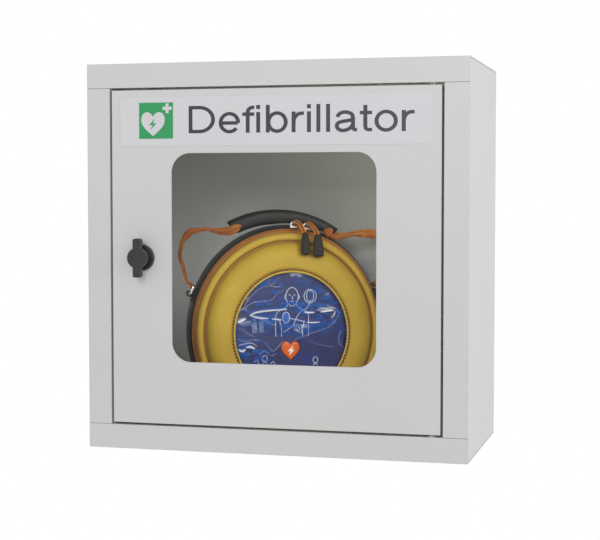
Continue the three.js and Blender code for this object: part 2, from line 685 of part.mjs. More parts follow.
function defibrillator() {
  const group = new THREE.Group();
  const heartCap = alongY(heart(1), -22.3, -15.5, 5);
  const powerCap = alongY(circle(8, ...POWER), -22, -15.5, 10);
  const lensRim = alongY(circle(4.5, ...LENS), -17.1, -15.5, 6);
  const lensCap = join(alongY(circle(3, ...LENS), -21, -15.5, 6), lensRim);
  const seal = [[91.8, 1.7], [93.8, 1.7], [93.8, 2.3], [91.8, 2.3]];
  group.add(
    part('aed_front_housing', aedFrontHousing(), aedShell()),
    part('aed_rear_housing', aedRearHousing(), aedShell()),
    part('aed_seal', ovalRing(seal), blackPlastic()),
    part('aed_face_overlay', aedFaceOverlay(), aedShell()),
    part('aed_shock_button', pushButton(heartCap, 0, HEART_Z, 12, -9.6), finish(0xe87a1c, 0.35, 0)),
    part('aed_power_button', pushButton(powerCap, ...POWER, 9.6, -12.6), finish(0x3f8f5a, 0.4, 0)),
    part('aed_status_lens', lensCap, finish(0x86c28e, 0.1, 0)),
    ...SCREWS.map((place, i) => part(`aed_screw_${i + 1}`, aedScrew(place), steel())),
  );
  aedInternals(group);
  return group;
}

// ---- Assembly ----
const caseFrame = new THREE.Group();
caseFrame.position.set(...CASE_PLACE);
caseFrame.rotation.z = CASE_TURN;
caseFrame.add(carryCase(), handle(), zipParts(), defibrillator());

const group = new THREE.Group();
group.add(cabinet(), door(), latch(), caseFrame);

export default group;
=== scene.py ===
"""Looks of a wall-cabinet defibrillator: steel cabinet and door, carry case, and the unit inside.

Lengths are in millimetres, turned to metres as each piece is placed. The case has its own upright
frame: x to its right, y into its back, z up, with its face looking to -y.
"""
import json
import math

import bmesh
import bpy
import numpy as np
from mathutils import Matrix, Vector, noise

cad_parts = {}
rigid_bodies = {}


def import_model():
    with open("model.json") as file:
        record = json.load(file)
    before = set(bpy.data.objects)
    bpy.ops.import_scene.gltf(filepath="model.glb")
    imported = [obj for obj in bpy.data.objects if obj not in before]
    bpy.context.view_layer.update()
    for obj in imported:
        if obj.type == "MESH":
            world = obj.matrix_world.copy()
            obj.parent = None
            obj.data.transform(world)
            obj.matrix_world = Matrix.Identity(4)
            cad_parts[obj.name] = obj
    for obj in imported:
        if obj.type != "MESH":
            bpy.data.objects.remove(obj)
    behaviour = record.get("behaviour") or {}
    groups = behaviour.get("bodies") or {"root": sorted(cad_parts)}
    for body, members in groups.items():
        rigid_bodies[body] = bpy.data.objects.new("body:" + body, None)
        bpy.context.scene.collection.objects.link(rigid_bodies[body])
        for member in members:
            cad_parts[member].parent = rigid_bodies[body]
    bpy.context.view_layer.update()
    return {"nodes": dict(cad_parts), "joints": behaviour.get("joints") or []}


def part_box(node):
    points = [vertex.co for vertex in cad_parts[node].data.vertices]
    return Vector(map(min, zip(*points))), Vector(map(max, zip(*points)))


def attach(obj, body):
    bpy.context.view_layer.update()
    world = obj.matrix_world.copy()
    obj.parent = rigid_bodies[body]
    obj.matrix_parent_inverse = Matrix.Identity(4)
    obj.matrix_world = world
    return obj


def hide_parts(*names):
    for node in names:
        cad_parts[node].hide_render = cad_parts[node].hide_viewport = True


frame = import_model()

MM = 0.001
JOINTS = {joint["name"]: joint for joint in frame["joints"]}


# ---- Places taken from the frame ----

def size_of(node):
    low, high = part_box(node)
    return (high - low) / MM


def middle_of(node):
    low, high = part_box(node)
    return (low + high) / 2 / MM


CASE_AXIS = Vector(JOINTS["zip_left_run"]["axis"])
CASE_AT = Vector(JOINTS["zip_left_run"]["pos_m"]) / MM
CASE_AT.z = middle_of("case_back_shell").z
CASE_TURN = math.atan2(-CASE_AXIS.x, CASE_AXIS.y)
CASE = Matrix.Scale(MM, 4) @ Matrix.Translation(CASE_AT) @ Matrix.Rotation(CASE_TURN, 4, "Z")
ROW = Matrix.Scale(MM, 4)
RIM = size_of("case_back_shell").z / 2
OVAL = 0.933                                 # width of the case over its height
STRAP_Y = 12.5
LABEL = middle_of("door_label")
LABEL_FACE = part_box("door_label")[0].y / MM


# ---- Materials ----

def rgb(red, green, blue):
    """Linear colour from screen values of 0 to 255."""
    def linear(value):
        value /= 255
        return value / 12.92 if value <= 0.04045 else ((value + 0.055) / 1.055) ** 2.4
    return (linear(red), linear(green), linear(blue), 1.0)


def grey(value):
    return (value, value, value, 1.0)


class Shader:
    """One node material. Sizes and depths are in millimetres of the real object."""

    def __init__(self, name, colour, roughness, metallic=0.0):
        self.material = bpy.data.materials.new(name)
        self.material.use_nodes = True
        self.tree = self.material.node_tree
        self.bsdf = self.tree.nodes["Principled BSDF"]
        self.normal = None
        self.set("Base Color", colour)
        self.set("Roughness", roughness)
        self.set("Metallic", metallic)

    def feed(self, socket, value):
        if isinstance(value, bpy.types.NodeSocket):
            self.tree.links.new(value, socket)
        else:
            socket.default_value = value

    def set(self, name, value):
        self.feed(self.bsdf.inputs[name], value)

    def node(self, kind, inputs, **settings):
        made = self.tree.nodes.new("ShaderNode" + kind)
        for key, value in settings.items():
            setattr(made, key, value)
        for key, value in inputs.items():
            self.feed(made.inputs[key], value)
        return made

    def place(self, stretch=(1, 1, 1), kind="Object"):
        coordinates = self.node("TexCoord", {}).outputs[kind]
        return self.node("Mapping", {"Vector": coordinates, "Scale": stretch}).outputs["Vector"]

    def noise(self, size, detail=2.0, roughness=0.5, stretch=(1, 1, 1)):
        values = {"Vector": self.place(stretch), "Scale": 1 / (size * MM),
                  "Detail": detail, "Roughness": roughness}
        return self.node("TexNoise", values).outputs["Fac"]

    def cells(self, size, **settings):
        values = {"Vector": self.place(), "Scale": 1 / (size * MM)}
        return self.node("TexVoronoi", values, **settings).outputs["Distance"]

    def wave(self, turns, along, kind="UV"):
        """Ribs: turns of a sine per unit of the coordinate, across one axis."""
        values = {"Vector": self.place((1, 1, 1), kind), "Scale": turns}
        return self.node("TexWave", values, wave_type="BANDS", bands_direction=along).outputs["Fac"]

    def ramp(self, fac, *stops):
        made = self.node("ValToRGB", {"Fac": fac})
        elements = made.color_ramp.elements
        elements.remove(elements[1])
        elements[0].position, elements[0].color = stops[0]
        for position, colour in stops[1:]:
            elements.new(position).color = colour
        return made.outputs["Color"]

    def levels(self, fac, low, high):
        return self.ramp(fac, (0.3, grey(low)), (0.7, grey(high)))

    def mix(self, fac, one, other):
        return self.node("Mix", {0: fac, 6: one, 7: other}, data_type="RGBA").outputs[2]

    def mottle(self, size, detail, least, most, one, other):
        """One colour with soft patches of another."""
        return self.mix(self.levels(self.noise(size, detail), least, most), one, other)

    def sum(self, one, other, operation="ADD"):
        return self.node("Math", {0: one, 1: other}, operation=operation).outputs[0]

    def bump(self, height, depth, strength=1.0):
        values = {"Height": height, "Distance": depth * MM, "Strength": strength}
        if self.normal:
            values["Normal"] = self.normal
        self.normal = self.node("Bump", values).outputs["Normal"]
        self.set("Normal", self.normal)

    def round_edges(self, radius):
        self.normal = self.node("Bevel", {"Radius": radius * MM}, samples=4).outputs["Normal"]

    def occlusion(self, reach):
        return self.node("AmbientOcclusion", {"Distance": reach * MM}, samples=8).outputs["AO"]

    def attribute(self, name):
        return self.node("Attribute", {}, attribute_name=name).outputs["Fac"]


def powder_coat():
    shader = Shader("powder_coat", rgb(216, 216, 215), 0.4)
    shader.round_edges(0.9)
    tone = shader.mix(shader.noise(120, 2), rgb(213, 213, 212), rgb(219, 219, 219))
    shader.set("Base Color", shader.mottle(0.9, 2, 0, 0.25, tone, rgb(206, 206, 205)))
    shader.set("Roughness", shader.levels(shader.noise(1.6, 3), 0.34, 0.48))
    shader.bump(shader.noise(1.6, 2, 0.6), 0.05)
    shader.bump(shader.noise(0.3, 2), 0.012)
    return shader.material


def film_white():
    shader = Shader("label_film", rgb(219, 219, 222), 0.5)
    drift = shader.noise(60, 2)
    shader.set("Base Color", shader.mix(drift, rgb(217, 217, 220), rgb(222, 222, 226)))
    shader.bump(shader.noise(5, 2), 0.03)
    return shader.material


def print_ink(name, colour, darker):
    shader = Shader(name, colour, 0.35)
    shader.set("Base Color", shader.mix(shader.noise(7, 3), colour, darker))
    shader.bump(shader.noise(0.4, 2), 0.01)
    return shader.material


def clear_sheet(name, tint, gloss, share):
    """Clear plastic as a mix of see-through and mirror, so that light still reaches what is behind."""
    shader = Shader(name, tint, gloss)
    tree = shader.tree
    tree.nodes.remove(shader.bsdf)
    through = shader.node("BsdfTransparent", {"Color": tint})
    mirror = shader.node("BsdfGlossy", {"Color": grey(1), "Roughness": gloss})
    edge = shader.node("Fresnel", {"IOR": 1.45})
    amount = shader.sum(edge.outputs[0], share, "MULTIPLY")
    mixed = shader.node("MixShader", {0: amount, 1: through.outputs[0], 2: mirror.outputs[0]})
    output = next(node for node in tree.nodes if node.type == "OUTPUT_MATERIAL")
    tree.links.new(mixed.outputs[0], output.inputs["Surface"])
    return shader, mirror, mixed, output


def pane_clear():
    shader, mirror, _, _ = clear_sheet("clear_pane", rgb(251, 252, 251), 0.03, 0.2)
    wobble = shader.node("Bump", {"Height": shader.noise(60, 1), "Distance": 0.1 * MM, "Strength": 0.3})
    shader.tree.links.new(wobble.outputs["Normal"], mirror.inputs["Normal"])
    return shader.material


def film_clear():
    """Creased film: clear where flat, with painted blue glow along its folds, painted lilac glints on thin fold
    lines and painted white glints, glowing by emission, on their crests.
    """
    shader, mirror, mixed, output = clear_sheet("clear_film", rgb(251, 252, 254), 0.1, 0.35)
    wobble = shader.node("Bump", {"Height": shader.noise(9, 3), "Distance": 0.3 * MM, "Strength": 0.5})
    shader.tree.links.new(wobble.outputs["Normal"], mirror.inputs["Normal"])
    # Painted glow: a blue diffuse, mixed in by the glow map and noise patches, stands in for light caught in
    # the folds.
    blue = shader.node("BsdfDiffuse", {"Color": rgb(56, 124, 228)})
    patches = shader.ramp(shader.noise(7, 4, 0.6, (0.5, 1, 1.6)), (0.42, grey(0)), (0.60, grey(1)))
    amount = shader.sum(shader.attribute("glow"), patches, "MULTIPLY")
    lit = shader.node("MixShader", {0: amount, 1: mixed.outputs[0], 2: blue.outputs[0]})
    # Painted glints: lilac diffuse along thin fold lines, and white emission along the crests of the folds.
    lilac = shader.node("BsdfDiffuse", {"Color": rgb(196, 186, 226)})
    lilac_glint_mix = shader.node("MixShader", {0: shader.attribute("painted_shade_and_glint"), 1: lit.outputs[0], 2: lilac.outputs[0]})
    white = shader.node("Emission", {"Color": rgb(250, 248, 248), "Strength": 0.9})
    glint = shader.node("MixShader", {0: shader.attribute("glint"), 1: lilac_glint_mix.outputs[0], 2: white.outputs[0]})
    shader.tree.links.new(glint.outputs[0], output.inputs["Surface"])
    return shader.material


def satin_plastic(name, colour, roughness):
    shader = Shader(name, colour, roughness)
    lighter = [min(1, value * 1.35 + 0.004) for value in colour[:3]] + [1]
    shader.set("Base Color", shader.mottle(12, 3, 0, 0.6, colour, lighter))
    shader.set("Roughness", shader.levels(shader.noise(3, 3), roughness - 0.06, roughness + 0.08))
    shader.bump(shader.noise(0.5, 2), 0.02)
    return shader.material


def glowing(name, colour, roughness, strength):
    """Key or print that stands out by a painted glow: emission makes it brighter than the lamps alone light it.
    """
    shader = Shader(name, colour, roughness)
    shader.set("Emission Color", colour)
    shader.set("Emission Strength", shader.levels(shader.noise(6, 2), strength * 0.85, strength * 1.1))
    shader.bump(shader.noise(0.8, 2), 0.02)
    return shader.material


def rubber(name, colour):
    shader = Shader(name, colour, 0.6)
    dusty = [value + 0.008 for value in colour[:3]] + [1]
    shader.set("Base Color", shader.mottle(2.5, 4, 0, 0.7, colour, dusty))
    shader.bump(shader.noise(0.35, 3), 0.04)
    return shader.material


def metal(name, colour, roughness, brush=(1, 1, 1)):
    shader = Shader(name, colour, roughness, 1.0)
    worn = [value * 0.72 for value in colour[:3]] + [1]
    shader.set("Base Color", shader.mottle(4, 4, 0, 0.5, colour, worn))
    shader.set("Roughness", shader.levels(shader.noise(0.8, 3, 0.6, brush), roughness * 0.7, roughness * 1.4))
    shader.bump(shader.noise(0.25, 2, 0.5, brush), 0.008)
    return shader.material


def woven(name, colour, deep, thread, roughness=0.75, sheen=0.25, painted_shade_and_glint=None):
    """Cloth: two crossing thread sets, soft tone changes, and painted shade in its creases and grooves."""
    shader = Shader(name, colour, roughness)
    turns = 1 / (2 * math.pi * thread * MM) * 0.5
    warp = shader.wave(turns * math.pi, "X", "Object")
    weft = shader.wave(turns * math.pi, "Z", "Object")
    threads = shader.sum(warp, weft)
    tone = shader.mottle(38, 3, 0, 0.8, colour, deep)
    tone = shader.mottle(0.9, 3, 0, 0.18, tone, deep)
    # Painted shade: where ambient occlusion finds nearby surfaces, the tone turns to the given shade colour.
    if painted_shade_and_glint:
        reach, shade = painted_shade_and_glint
        open_sky = shader.ramp(shader.occlusion(reach), (0.45, grey(1)), (0.92, grey(0)))
        tone = shader.mix(open_sky, tone, shade)
    shader.set("Base Color", tone)
    shader.set("Sheen Weight", sheen)
    shader.set("Sheen Roughness", 0.5)
    shader.bump(threads, 0.05, 0.6)
    shader.bump(shader.noise(0.8, 3), 0.05)
    return shader.material


def webbing(name, colour, deep, shade):
    """Flat woven tape: lengthwise ribs crossed by fine picks, read from the strap's own UV, with painted shade
    in its folds.
    """
    shader = Shader(name, colour, 0.72)
    ribs = shader.wave(1.6, "Y")
    picks = shader.wave(2.6, "X")
    weave = shader.sum(ribs, picks, "MULTIPLY")
    worn = shader.mottle(14, 3, 0, 1, colour, deep)
    # Painted shade: where ambient occlusion finds the strap's own folds close by, the tone turns to the shade
    # colour.
    painted_fold_shade = shader.ramp(shader.occlusion(5), (0.45, grey(1)), (0.95, grey(0)))
    tone = shader.mix(shader.levels(weave, 0.45, 0.0), worn, deep)
    shader.set("Base Color", shader.mix(painted_fold_shade, tone, shade))
    shader.set("Sheen Weight", 0.1)
    shader.bump(weave, 0.25, 0.8)
    shader.bump(shader.noise(0.5, 3), 0.05)
    return shader.material


def grain_cover(name, colour, cell):
    """Soft black cover with a fine pebbled skin."""
    shader = Shader(name, colour, 0.5)
    lighter = [value * 1.5 + 0.002 for value in colour[:3]] + [1]
    shader.set("Base Color", shader.mottle(9, 3, 0, 0.7, colour, lighter))
    shader.bump(shader.cells(cell), 0.08, 0.5)
    shader.bump(shader.noise(5, 3), 0.15, 0.5)
    shader.set("Roughness", shader.levels(shader.noise(4, 3), 0.42, 0.6))
    return shader.material


def face_blue():
    """Printed membrane: deep blue with slow changes of tone."""
    shader = Shader("face_blue", rgb(52, 62, 112), 0.4)
    drift = shader.noise(30, 2.5, 0.5, (1, 1, 1.6))
    tone = shader.ramp(drift, (0.30, rgb(58, 84, 172)), (0.46, rgb(72, 76, 136)), (0.75, rgb(80, 76, 116)))
    shader.set("Base Color", tone)
    shader.bump(shader.noise(0.5, 2), 0.02)
    return shader.material


def board_mask():
    shader = Shader("board_mask", rgb(24, 74, 48), 0.35)
    tracks = shader.cells(3.2, distance="CHEBYCHEV", feature="F1")
    shader.set("Base Color", shader.ramp(tracks, (0.30, rgb(22, 66, 44)), (0.36, rgb(52, 116, 78))))
    shader.bump(tracks, 0.05)
    return shader.material


def wound_copper():
    shader = Shader("wound_copper", rgb(178, 104, 58), 0.3, 1.0)
    shader.set("Base Color", shader.mix(shader.noise(3, 2), rgb(190, 112, 64), rgb(120, 62, 34)))
    shader.bump(shader.wave(420, "X", "Object"), 0.4)
    return shader.material


COAT = powder_coat()
FILM_WHITE = film_white()
INK_GREEN = print_ink("ink_green", rgb(52, 166, 100), rgb(44, 156, 92))
INK_WHITE = print_ink("ink_white", rgb(224, 222, 224), rgb(214, 212, 216))
# Pale print with a painted glow, so the face lines read brighter through the film.
INK_PALE_GLOW = glowing("ink_pale_glow", rgb(216, 228, 246), 0.4, 0.3)
INK_FIGURE = print_ink("ink_figure", rgb(168, 176, 206), rgb(128, 160, 190))
INK_PAD = print_ink("ink_pad", rgb(78, 146, 236), rgb(64, 124, 220))
INK_DARK = print_ink("ink_dark", rgb(66, 66, 72), rgb(56, 56, 62))
PANE = pane_clear()
FILM = film_clear()
BLACK = satin_plastic("black_plastic", rgb(46, 46, 48), 0.38)
RUBBER = rubber("black_rubber", rgb(38, 37, 37))
ZINC = metal("zinc_steel", (0.62, 0.62, 0.60, 1), 0.32, (1, 1, 8))
NICKEL = metal("nickel", (1.0, 0.99, 0.97, 1), 0.24)
# For the yellow, binding and zip cloths, the last argument is the reach and colour of painted shade in creases.
YELLOW = woven("yellow_cloth", rgb(226, 190, 66), rgb(212, 170, 56), 0.45, 0.55, 0.12, (8, rgb(142, 84, 38)))
PIPING = woven("yellow_binding", rgb(240, 206, 84), rgb(222, 184, 66), 0.35, 0.6, 0.2, (1.5, rgb(160, 96, 48)))
BLACK_CLOTH = woven("black_cloth", rgb(50, 50, 52), rgb(38, 38, 40), 0.5, 0.7, 0.15)
THREAD = print_ink("brown_thread", rgb(110, 62, 36), rgb(82, 44, 26))
ZIP_TAPE = woven("zip_tape", rgb(214, 146, 66), rgb(190, 112, 54), 0.4, 0.8, 0.2, (2.5, rgb(138, 70, 40)))
TEETH = satin_plastic("zip_teeth", rgb(222, 156, 66), 0.45)
# The last colour of each webbing is the painted shade in its folds.
WEBBING = webbing("orange_webbing", rgb(238, 164, 72), rgb(204, 112, 52), rgb(118, 50, 30))
CORD = webbing("orange_cord", rgb(255, 178, 60), rgb(244, 134, 44), rgb(120, 44, 28))
GRIP = grain_cover("grip_cover", rgb(34, 34, 35), 0.9)
FOAM = grain_cover("case_foam", rgb(48, 48, 50), 1.4)
FACE = face_blue()
SHELL_BLUE = satin_plastic("aed_shell", rgb(58, 66, 102), 0.42)
# Shock key: its own orange and white print, with a painted glow in the key and in its bolt.
LIT_WHITE = glowing("lit_white", rgb(250, 248, 244), 0.4, 0.4)
ORANGE_GLOW = glowing("shock_orange", rgb(244, 112, 40), 0.28, 0.3)
GREEN = satin_plastic("power_green", rgb(52, 146, 84), 0.35)
LENS = satin_plastic("status_lens", rgb(128, 214, 140), 0.12)
BOARD = board_mask()
SLEEVE = satin_plastic("sleeve_blue", rgb(46, 66, 118), 0.3)
COPPER = wound_copper()
TRAY = satin_plastic("tray_white", rgb(214, 214, 210), 0.45)
FOIL = grain_cover("foil_packet", rgb(196, 198, 202), 2.2)


# ---- Mesh building ----

def piece(name, verts, faces, material, body, slot, place=CASE, stands_for=(), uvs=None, smooth=True):
    mesh = bpy.data.meshes.new(name)
    mesh.from_pydata([place @ Vector(vert) for vert in verts], [], faces)
    if uvs:
        layer = mesh.uv_layers.new(name="UVMap")
        for loop in mesh.loops:
            layer.data[loop.index].uv = uvs[loop.vertex_index]
    work = bmesh.new()
    work.from_mesh(mesh)
    bmesh.ops.recalc_face_normals(work, faces=work.faces)
    work.to_mesh(mesh)
    work.free()
    mesh.polygons.foreach_set("use_smooth", [smooth] * len(mesh.polygons))
    mesh.materials.append(material)
    obj = bpy.data.objects.new(name, mesh)
    bpy.context.collection.objects.link(obj)
    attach(obj, body)
    if stands_for:
        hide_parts(*stands_for)
    return obj


def soften(obj, width, segments=2, angle=35):
    bevel = obj.modifiers.new("soft_edges", "BEVEL")
    bevel.width, bevel.segments = width * MM, segments
    bevel.limit_method, bevel.angle_limit = "ANGLE", math.radians(angle)
    bevel.harden_normals = True


def dress(material, *names, edge=0.06, segments=2):
    """Gives CAD nodes their finish, and a small round along their sharp edges."""
    for name in names:
        obj = frame["nodes"][name]
        mesh = obj.data
        mesh.materials.clear()
        mesh.materials.append(material)
        mesh.polygons.foreach_set("use_smooth", [True] * len(mesh.polygons))
        if "custom_normal" in mesh.attributes:
            mesh.attributes.remove(mesh.attributes["custom_normal"])
        weld = obj.modifiers.new("weld", "WELD")
        weld.merge_threshold = 0.001 * MM
        flat = obj.modifiers.new("flat_faces", "DECIMATE")
        flat.decimate_type, flat.angle_limit = "DISSOLVE", math.radians(0.5)
        soften(obj, edge, segments)


def arc(x, y, radius_x, radius_y, start, end, steps):
    angles = [math.radians(start + (end - start) * i / steps) for i in range(steps + 1)]
    return [(x + radius_x * math.cos(a), y + radius_y * math.sin(a)) for a in angles]


def grid_faces(rows, columns, wrap_rows, wrap_columns):
    faces = []
    for i in range(rows if wrap_rows else rows - 1):
        for j in range(columns if wrap_columns else columns - 1):
            k, m = (i + 1) % rows, (j + 1) % columns
            faces.append((i * columns + j, i * columns + m, k * columns + m, k * columns + j))
    return faces


def tube_faces(rings, count):
    """Faces of a closed tube: its wall, then a cap at each end."""
    return grid_faces(rings, count, False, True) + [
        tuple(range(count)), tuple(range((rings - 1) * count, rings * count))]


def turned(profile, segments, shape=None):
    """Carries (radius, y) points round the case's oval. shape(radius, y, angle) may move a point."""
    verts = []
    for i in range(segments):
        angle = 2 * math.pi * i / segments
        for radius, y in profile:
            if shape:
                radius, y = shape(radius, y, angle)
            verts.append((OVAL * radius * math.sin(angle), y, radius * math.cos(angle)))
    return verts


def revolve(profile, segments, shape=None):
    """A closed ring of points turned about the case's axis."""
    return turned(profile, segments, shape), grid_faces(segments, len(profile), True, True)


def revolve_capped(profile, segments):
    """An open profile that starts and ends near the axis, turned and closed there."""
    count = len(profile)
    faces = grid_faces(segments, count, True, False)
    for column in (0, count - 1):
        faces.append(tuple(i * count + column for i in range(segments)))
    return turned(profile, segments), faces


def smooth_path(points, per_span):
    """Centripetal-like Catmull-Rom through the points."""
    points = [Vector(point) for point in points]
    padded = [2 * points[0] - points[1], *points, 2 * points[-1] - points[-2]]
    path = []
    for p0, p1, p2, p3 in zip(padded, padded[1:], padded[2:], padded[3:]):
        for i in range(per_span):
            t = i / per_span
            path.append(0.5 * (2 * p1 + (p2 - p0) * t + (2 * p0 - 5 * p1 + 4 * p2 - p3) * t ** 2
                               + (3 * p1 - p0 - 3 * p2 + p3) * t ** 3))
    path.append(points[-1])
    return path


def sweep(path, section, side=Vector((0, 1, 0)), twist=None, scale=None):
    """Carries a closed section along a path. The section's first axis starts along side."""
    verts, uvs, length = [], [], 0
    for i, point in enumerate(path):
        ahead = path[min(i + 1, len(path) - 1)] - path[max(i - 1, 0)]
        ahead.normalize()
        across = (side - side.dot(ahead) * ahead).normalized()
        share = i / (len(path) - 1)
        if twist:
            across = Matrix.Rotation(math.radians(twist(share)), 3, ahead) @ across
        other = ahead.cross(across)
        if i:
            length += (point - path[i - 1]).length
        grow = scale(share) if scale else (1, 1)
        for j, (u, v) in enumerate(section):
            verts.append(point + across * u * grow[0] + other * v * grow[1])
            uvs.append((length, j / len(section) * 30))
    return verts, tube_faces(len(path), len(section)), uvs


def round_section(width, height, power=2.0, count=16):
    points = []
    for i in range(count):
        angle = 2 * math.pi * i / count
        c, s = math.cos(angle), math.sin(angle)
        points.append((width / 2 * math.copysign(abs(c) ** (2 / power), c),
                       height / 2 * math.copysign(abs(s) ** (2 / power), s)))
    return points


def blob(length, width, height, rings=4, around=8):
    """A small closed grain, long in x, for threads and teeth."""
    verts = [(-length / 2, 0, 0)]
    for i in range(1, rings):
        angle = math.pi * i / rings
        for j in range(around):
            turn = 2 * math.pi * j / around
            verts.append((-length / 2 * math.cos(angle), width / 2 * math.sin(angle) * math.cos(turn),
                          height / 2 * math.sin(angle) * math.sin(turn)))
    verts.append((length / 2, 0, 0))
    faces = [(0, 1 + (j + 1) % around, 1 + j) for j in range(around)]
    for i in range(rings - 2):
        for j in range(around):
            a, b = 1 + i * around + j, 1 + i * around + (j + 1) % around
            faces.append((a, b, b + around, a + around))
    last = len(verts) - 1
    base = 1 + (rings - 2) * around
    faces += [(last, base + j, base + (j + 1) % around) for j in range(around)]
    return verts, faces


def scatter(template, placements):
    verts, faces = [], []
    for placement in placements:
        start = len(verts)
        verts += [placement @ Vector(vert) for vert in template[0]]
        faces += [tuple(start + i for i in face) for face in template[1]]
    return verts, faces


def round_the_case(count, radius, y, lift=0.0):
    """Places round the case's oval: x along the seam, z outward, y along the case's axis, leaning by lift."""
    places = []
    for i in range(count):
        angle = 2 * math.pi * (i + 0.5) / count
        spot = Vector((OVAL * radius * math.sin(angle), y, radius * math.cos(angle)))
        along = Vector((OVAL * math.cos(angle), 0, -math.sin(angle))).normalized()
        outward = Vector((-along.z, 0, along.x)) * -1
        if outward.dot(spot) < 0:
            outward = -outward
        back = Vector((0, 1, 0)) * math.cos(lift) + outward * math.sin(lift)
        top = along.cross(back)
        places.append(Matrix.Translation(spot) @ Matrix((along, back, top)).transposed().to_4x4())
    return places


def plate(outline, front, back):
    """A flat closed solid: an (x, z) outline between two y values."""
    count = len(outline)
    verts = [(x, front, z) for x, z in outline] + [(x, back, z) for x, z in outline]
    faces = [tuple(range(count)), tuple(range(2 * count - 1, count - 1, -1))]
    faces += [(i, (i + 1) % count, count + (i + 1) % count, count + i) for i in range(count)]
    return verts, faces


def ribbon(points, width, closed, front, back):
    """A printed line: a thin strip along (x, z) points, between two y values."""
    points = [Vector((x, z)) for x, z in points]
    if closed and (points[0] - points[-1]).length < 1e-6:
        points.pop()
    count = len(points)
    left, right = [], []
    for i, point in enumerate(points):
        before = points[i - 1] if i or closed else point
        after = points[(i + 1) % count] if i < count - 1 or closed else point
        ahead = (after - before).normalized()
        normal = Vector((-ahead.y, ahead.x)) * width / 2
        left.append(point + normal)
        right.append(point - normal)
    verts = []
    for y in (front, back):
        verts += [(p.x, y, p.y) for p in left] + [(p.x, y, p.y) for p in right]
    faces = []
    low = 2 * count
    for i in range(count if closed else count - 1):
        k = (i + 1) % count
        a, b, c, d = i, k, count + k, count + i
        faces += [(a, b, c, d), (low + d, low + c, low + b, low + a)]
        faces += [(a, low + a, low + b, b), (d, c, low + c, low + d)]
    if not closed:
        for i in (0, count - 1):
            faces.append((i, count + i, 3 * count + i, 2 * count + i))
    return verts, faces


def gather(*meshes):
    verts, faces = [], []
    for more_verts, more_faces in meshes:
        faces += [tuple(len(verts) + i for i in face) for face in more_faces]
        verts += more_verts
    return verts, faces


def bezier(p0, p1, p2, p3, steps):
    points = []
    for i in range(steps):
        t = i / steps
        a, b, c, d = (1 - t) ** 3, 3 * t * (1 - t) ** 2, 3 * t * t * (1 - t), t ** 3
        points.append((a * p0[0] + b * p1[0] + c * p2[0] + d * p3[0],
                       a * p0[1] + b * p1[1] + c * p2[1] + d * p3[1]))
    return points


def heart(x, z, width, height, steps=10):
    """Heart outline inside a width by height box centred on (x, z)."""
    w, h = width / 2, height / 2
    right = bezier((0, -h), (0.35 * w, -0.62 * h), (w, -0.25 * h), (w, 0.35 * h), steps)
    right += bezier((w, 0.35 * h), (w, 1.15 * h), (0.25 * w, 1.2 * h), (0, 0.62 * h), steps)
    left = [(-px, pz) for px, pz in reversed(right[1:])]
    return [(x + px, z + pz) for px, pz in right + [(0, 0.62 * h)] + left]


def bolt(x, z, width, height):
    shape = [(0.3, 1), (-0.5, -0.16), (-0.02, -0.1), (-0.3, -1), (0.5, 0.2), (0.06, 0.14)]
    return [(x + px * width, z + pz * height / 2) for px, pz in shape]


def cross(x, z, reach, half):
    shape = [(half, half), (half, reach), (-half, reach), (-half, half), (-reach, half), (-reach, -half),
             (-half, -half), (-half, -reach), (half, -reach), (half, -half), (reach, -half), (reach, half)]
    return [(x + px, z + pz) for px, pz in shape]


def square(x, z, width, height):
    w, h = width / 2, height / 2
    return [(x - w, z - h), (x + w, z - h), (x + w, z + h), (x - w, z + h)]


# ---- Cabinet and door: the CAD sheets keep their shape and get their coat ----

def cabinet():
    panels = ["top_panel", "bottom_panel", "left_side_panel", "right_side_panel", "back_panel", "door_panel"]
    dress(COAT, *panels, edge=0.5)
    dress(ZINC, "hinge_pin_top", "hinge_pin_bottom", "lock_nut", "lock_spindle", "lock_cam", "cam_screw",
          edge=0.3)
    dress(TRAY, "hinge_bush_top", "hinge_bush_bottom", edge=0.2)
    dress(RUBBER, "door_buffer_upper", "door_buffer_lower", edge=0.6)
    dress(RUBBER, "window_tape")
    dress(PANE, "window_pane", edge=0.4)
    dress(BLACK, "lock_rosette", edge=0.6, segments=3)
    dress(BLACK, "knob", edge=0.8, segments=3)
    dress(FILM_WHITE, "door_label")


CAP, WAIST = 27.8, 20.7                       # heights of the capital and of the small letters
STEM, LEVEL = 4.1, 3.5                        # widths of upright and of level strokes
LETTER_BASE = -12.35                          # from the label's middle
LETTERS = [("D", -88.4), ("e", -56.3), ("f", -31.1), ("i", -16.4), ("b", -6.3), ("r", 20.6), ("i", 36.5),
           ("l", 46.2), ("l", 56.2), ("a", 65.0), ("t", 90.8), ("o", 105.6), ("r", 132.8)]
STROKE_STEP = 0.01                            # later strokes stand this much prouder, where they cross
INK = 0.06                                    # thickness of one layer of print


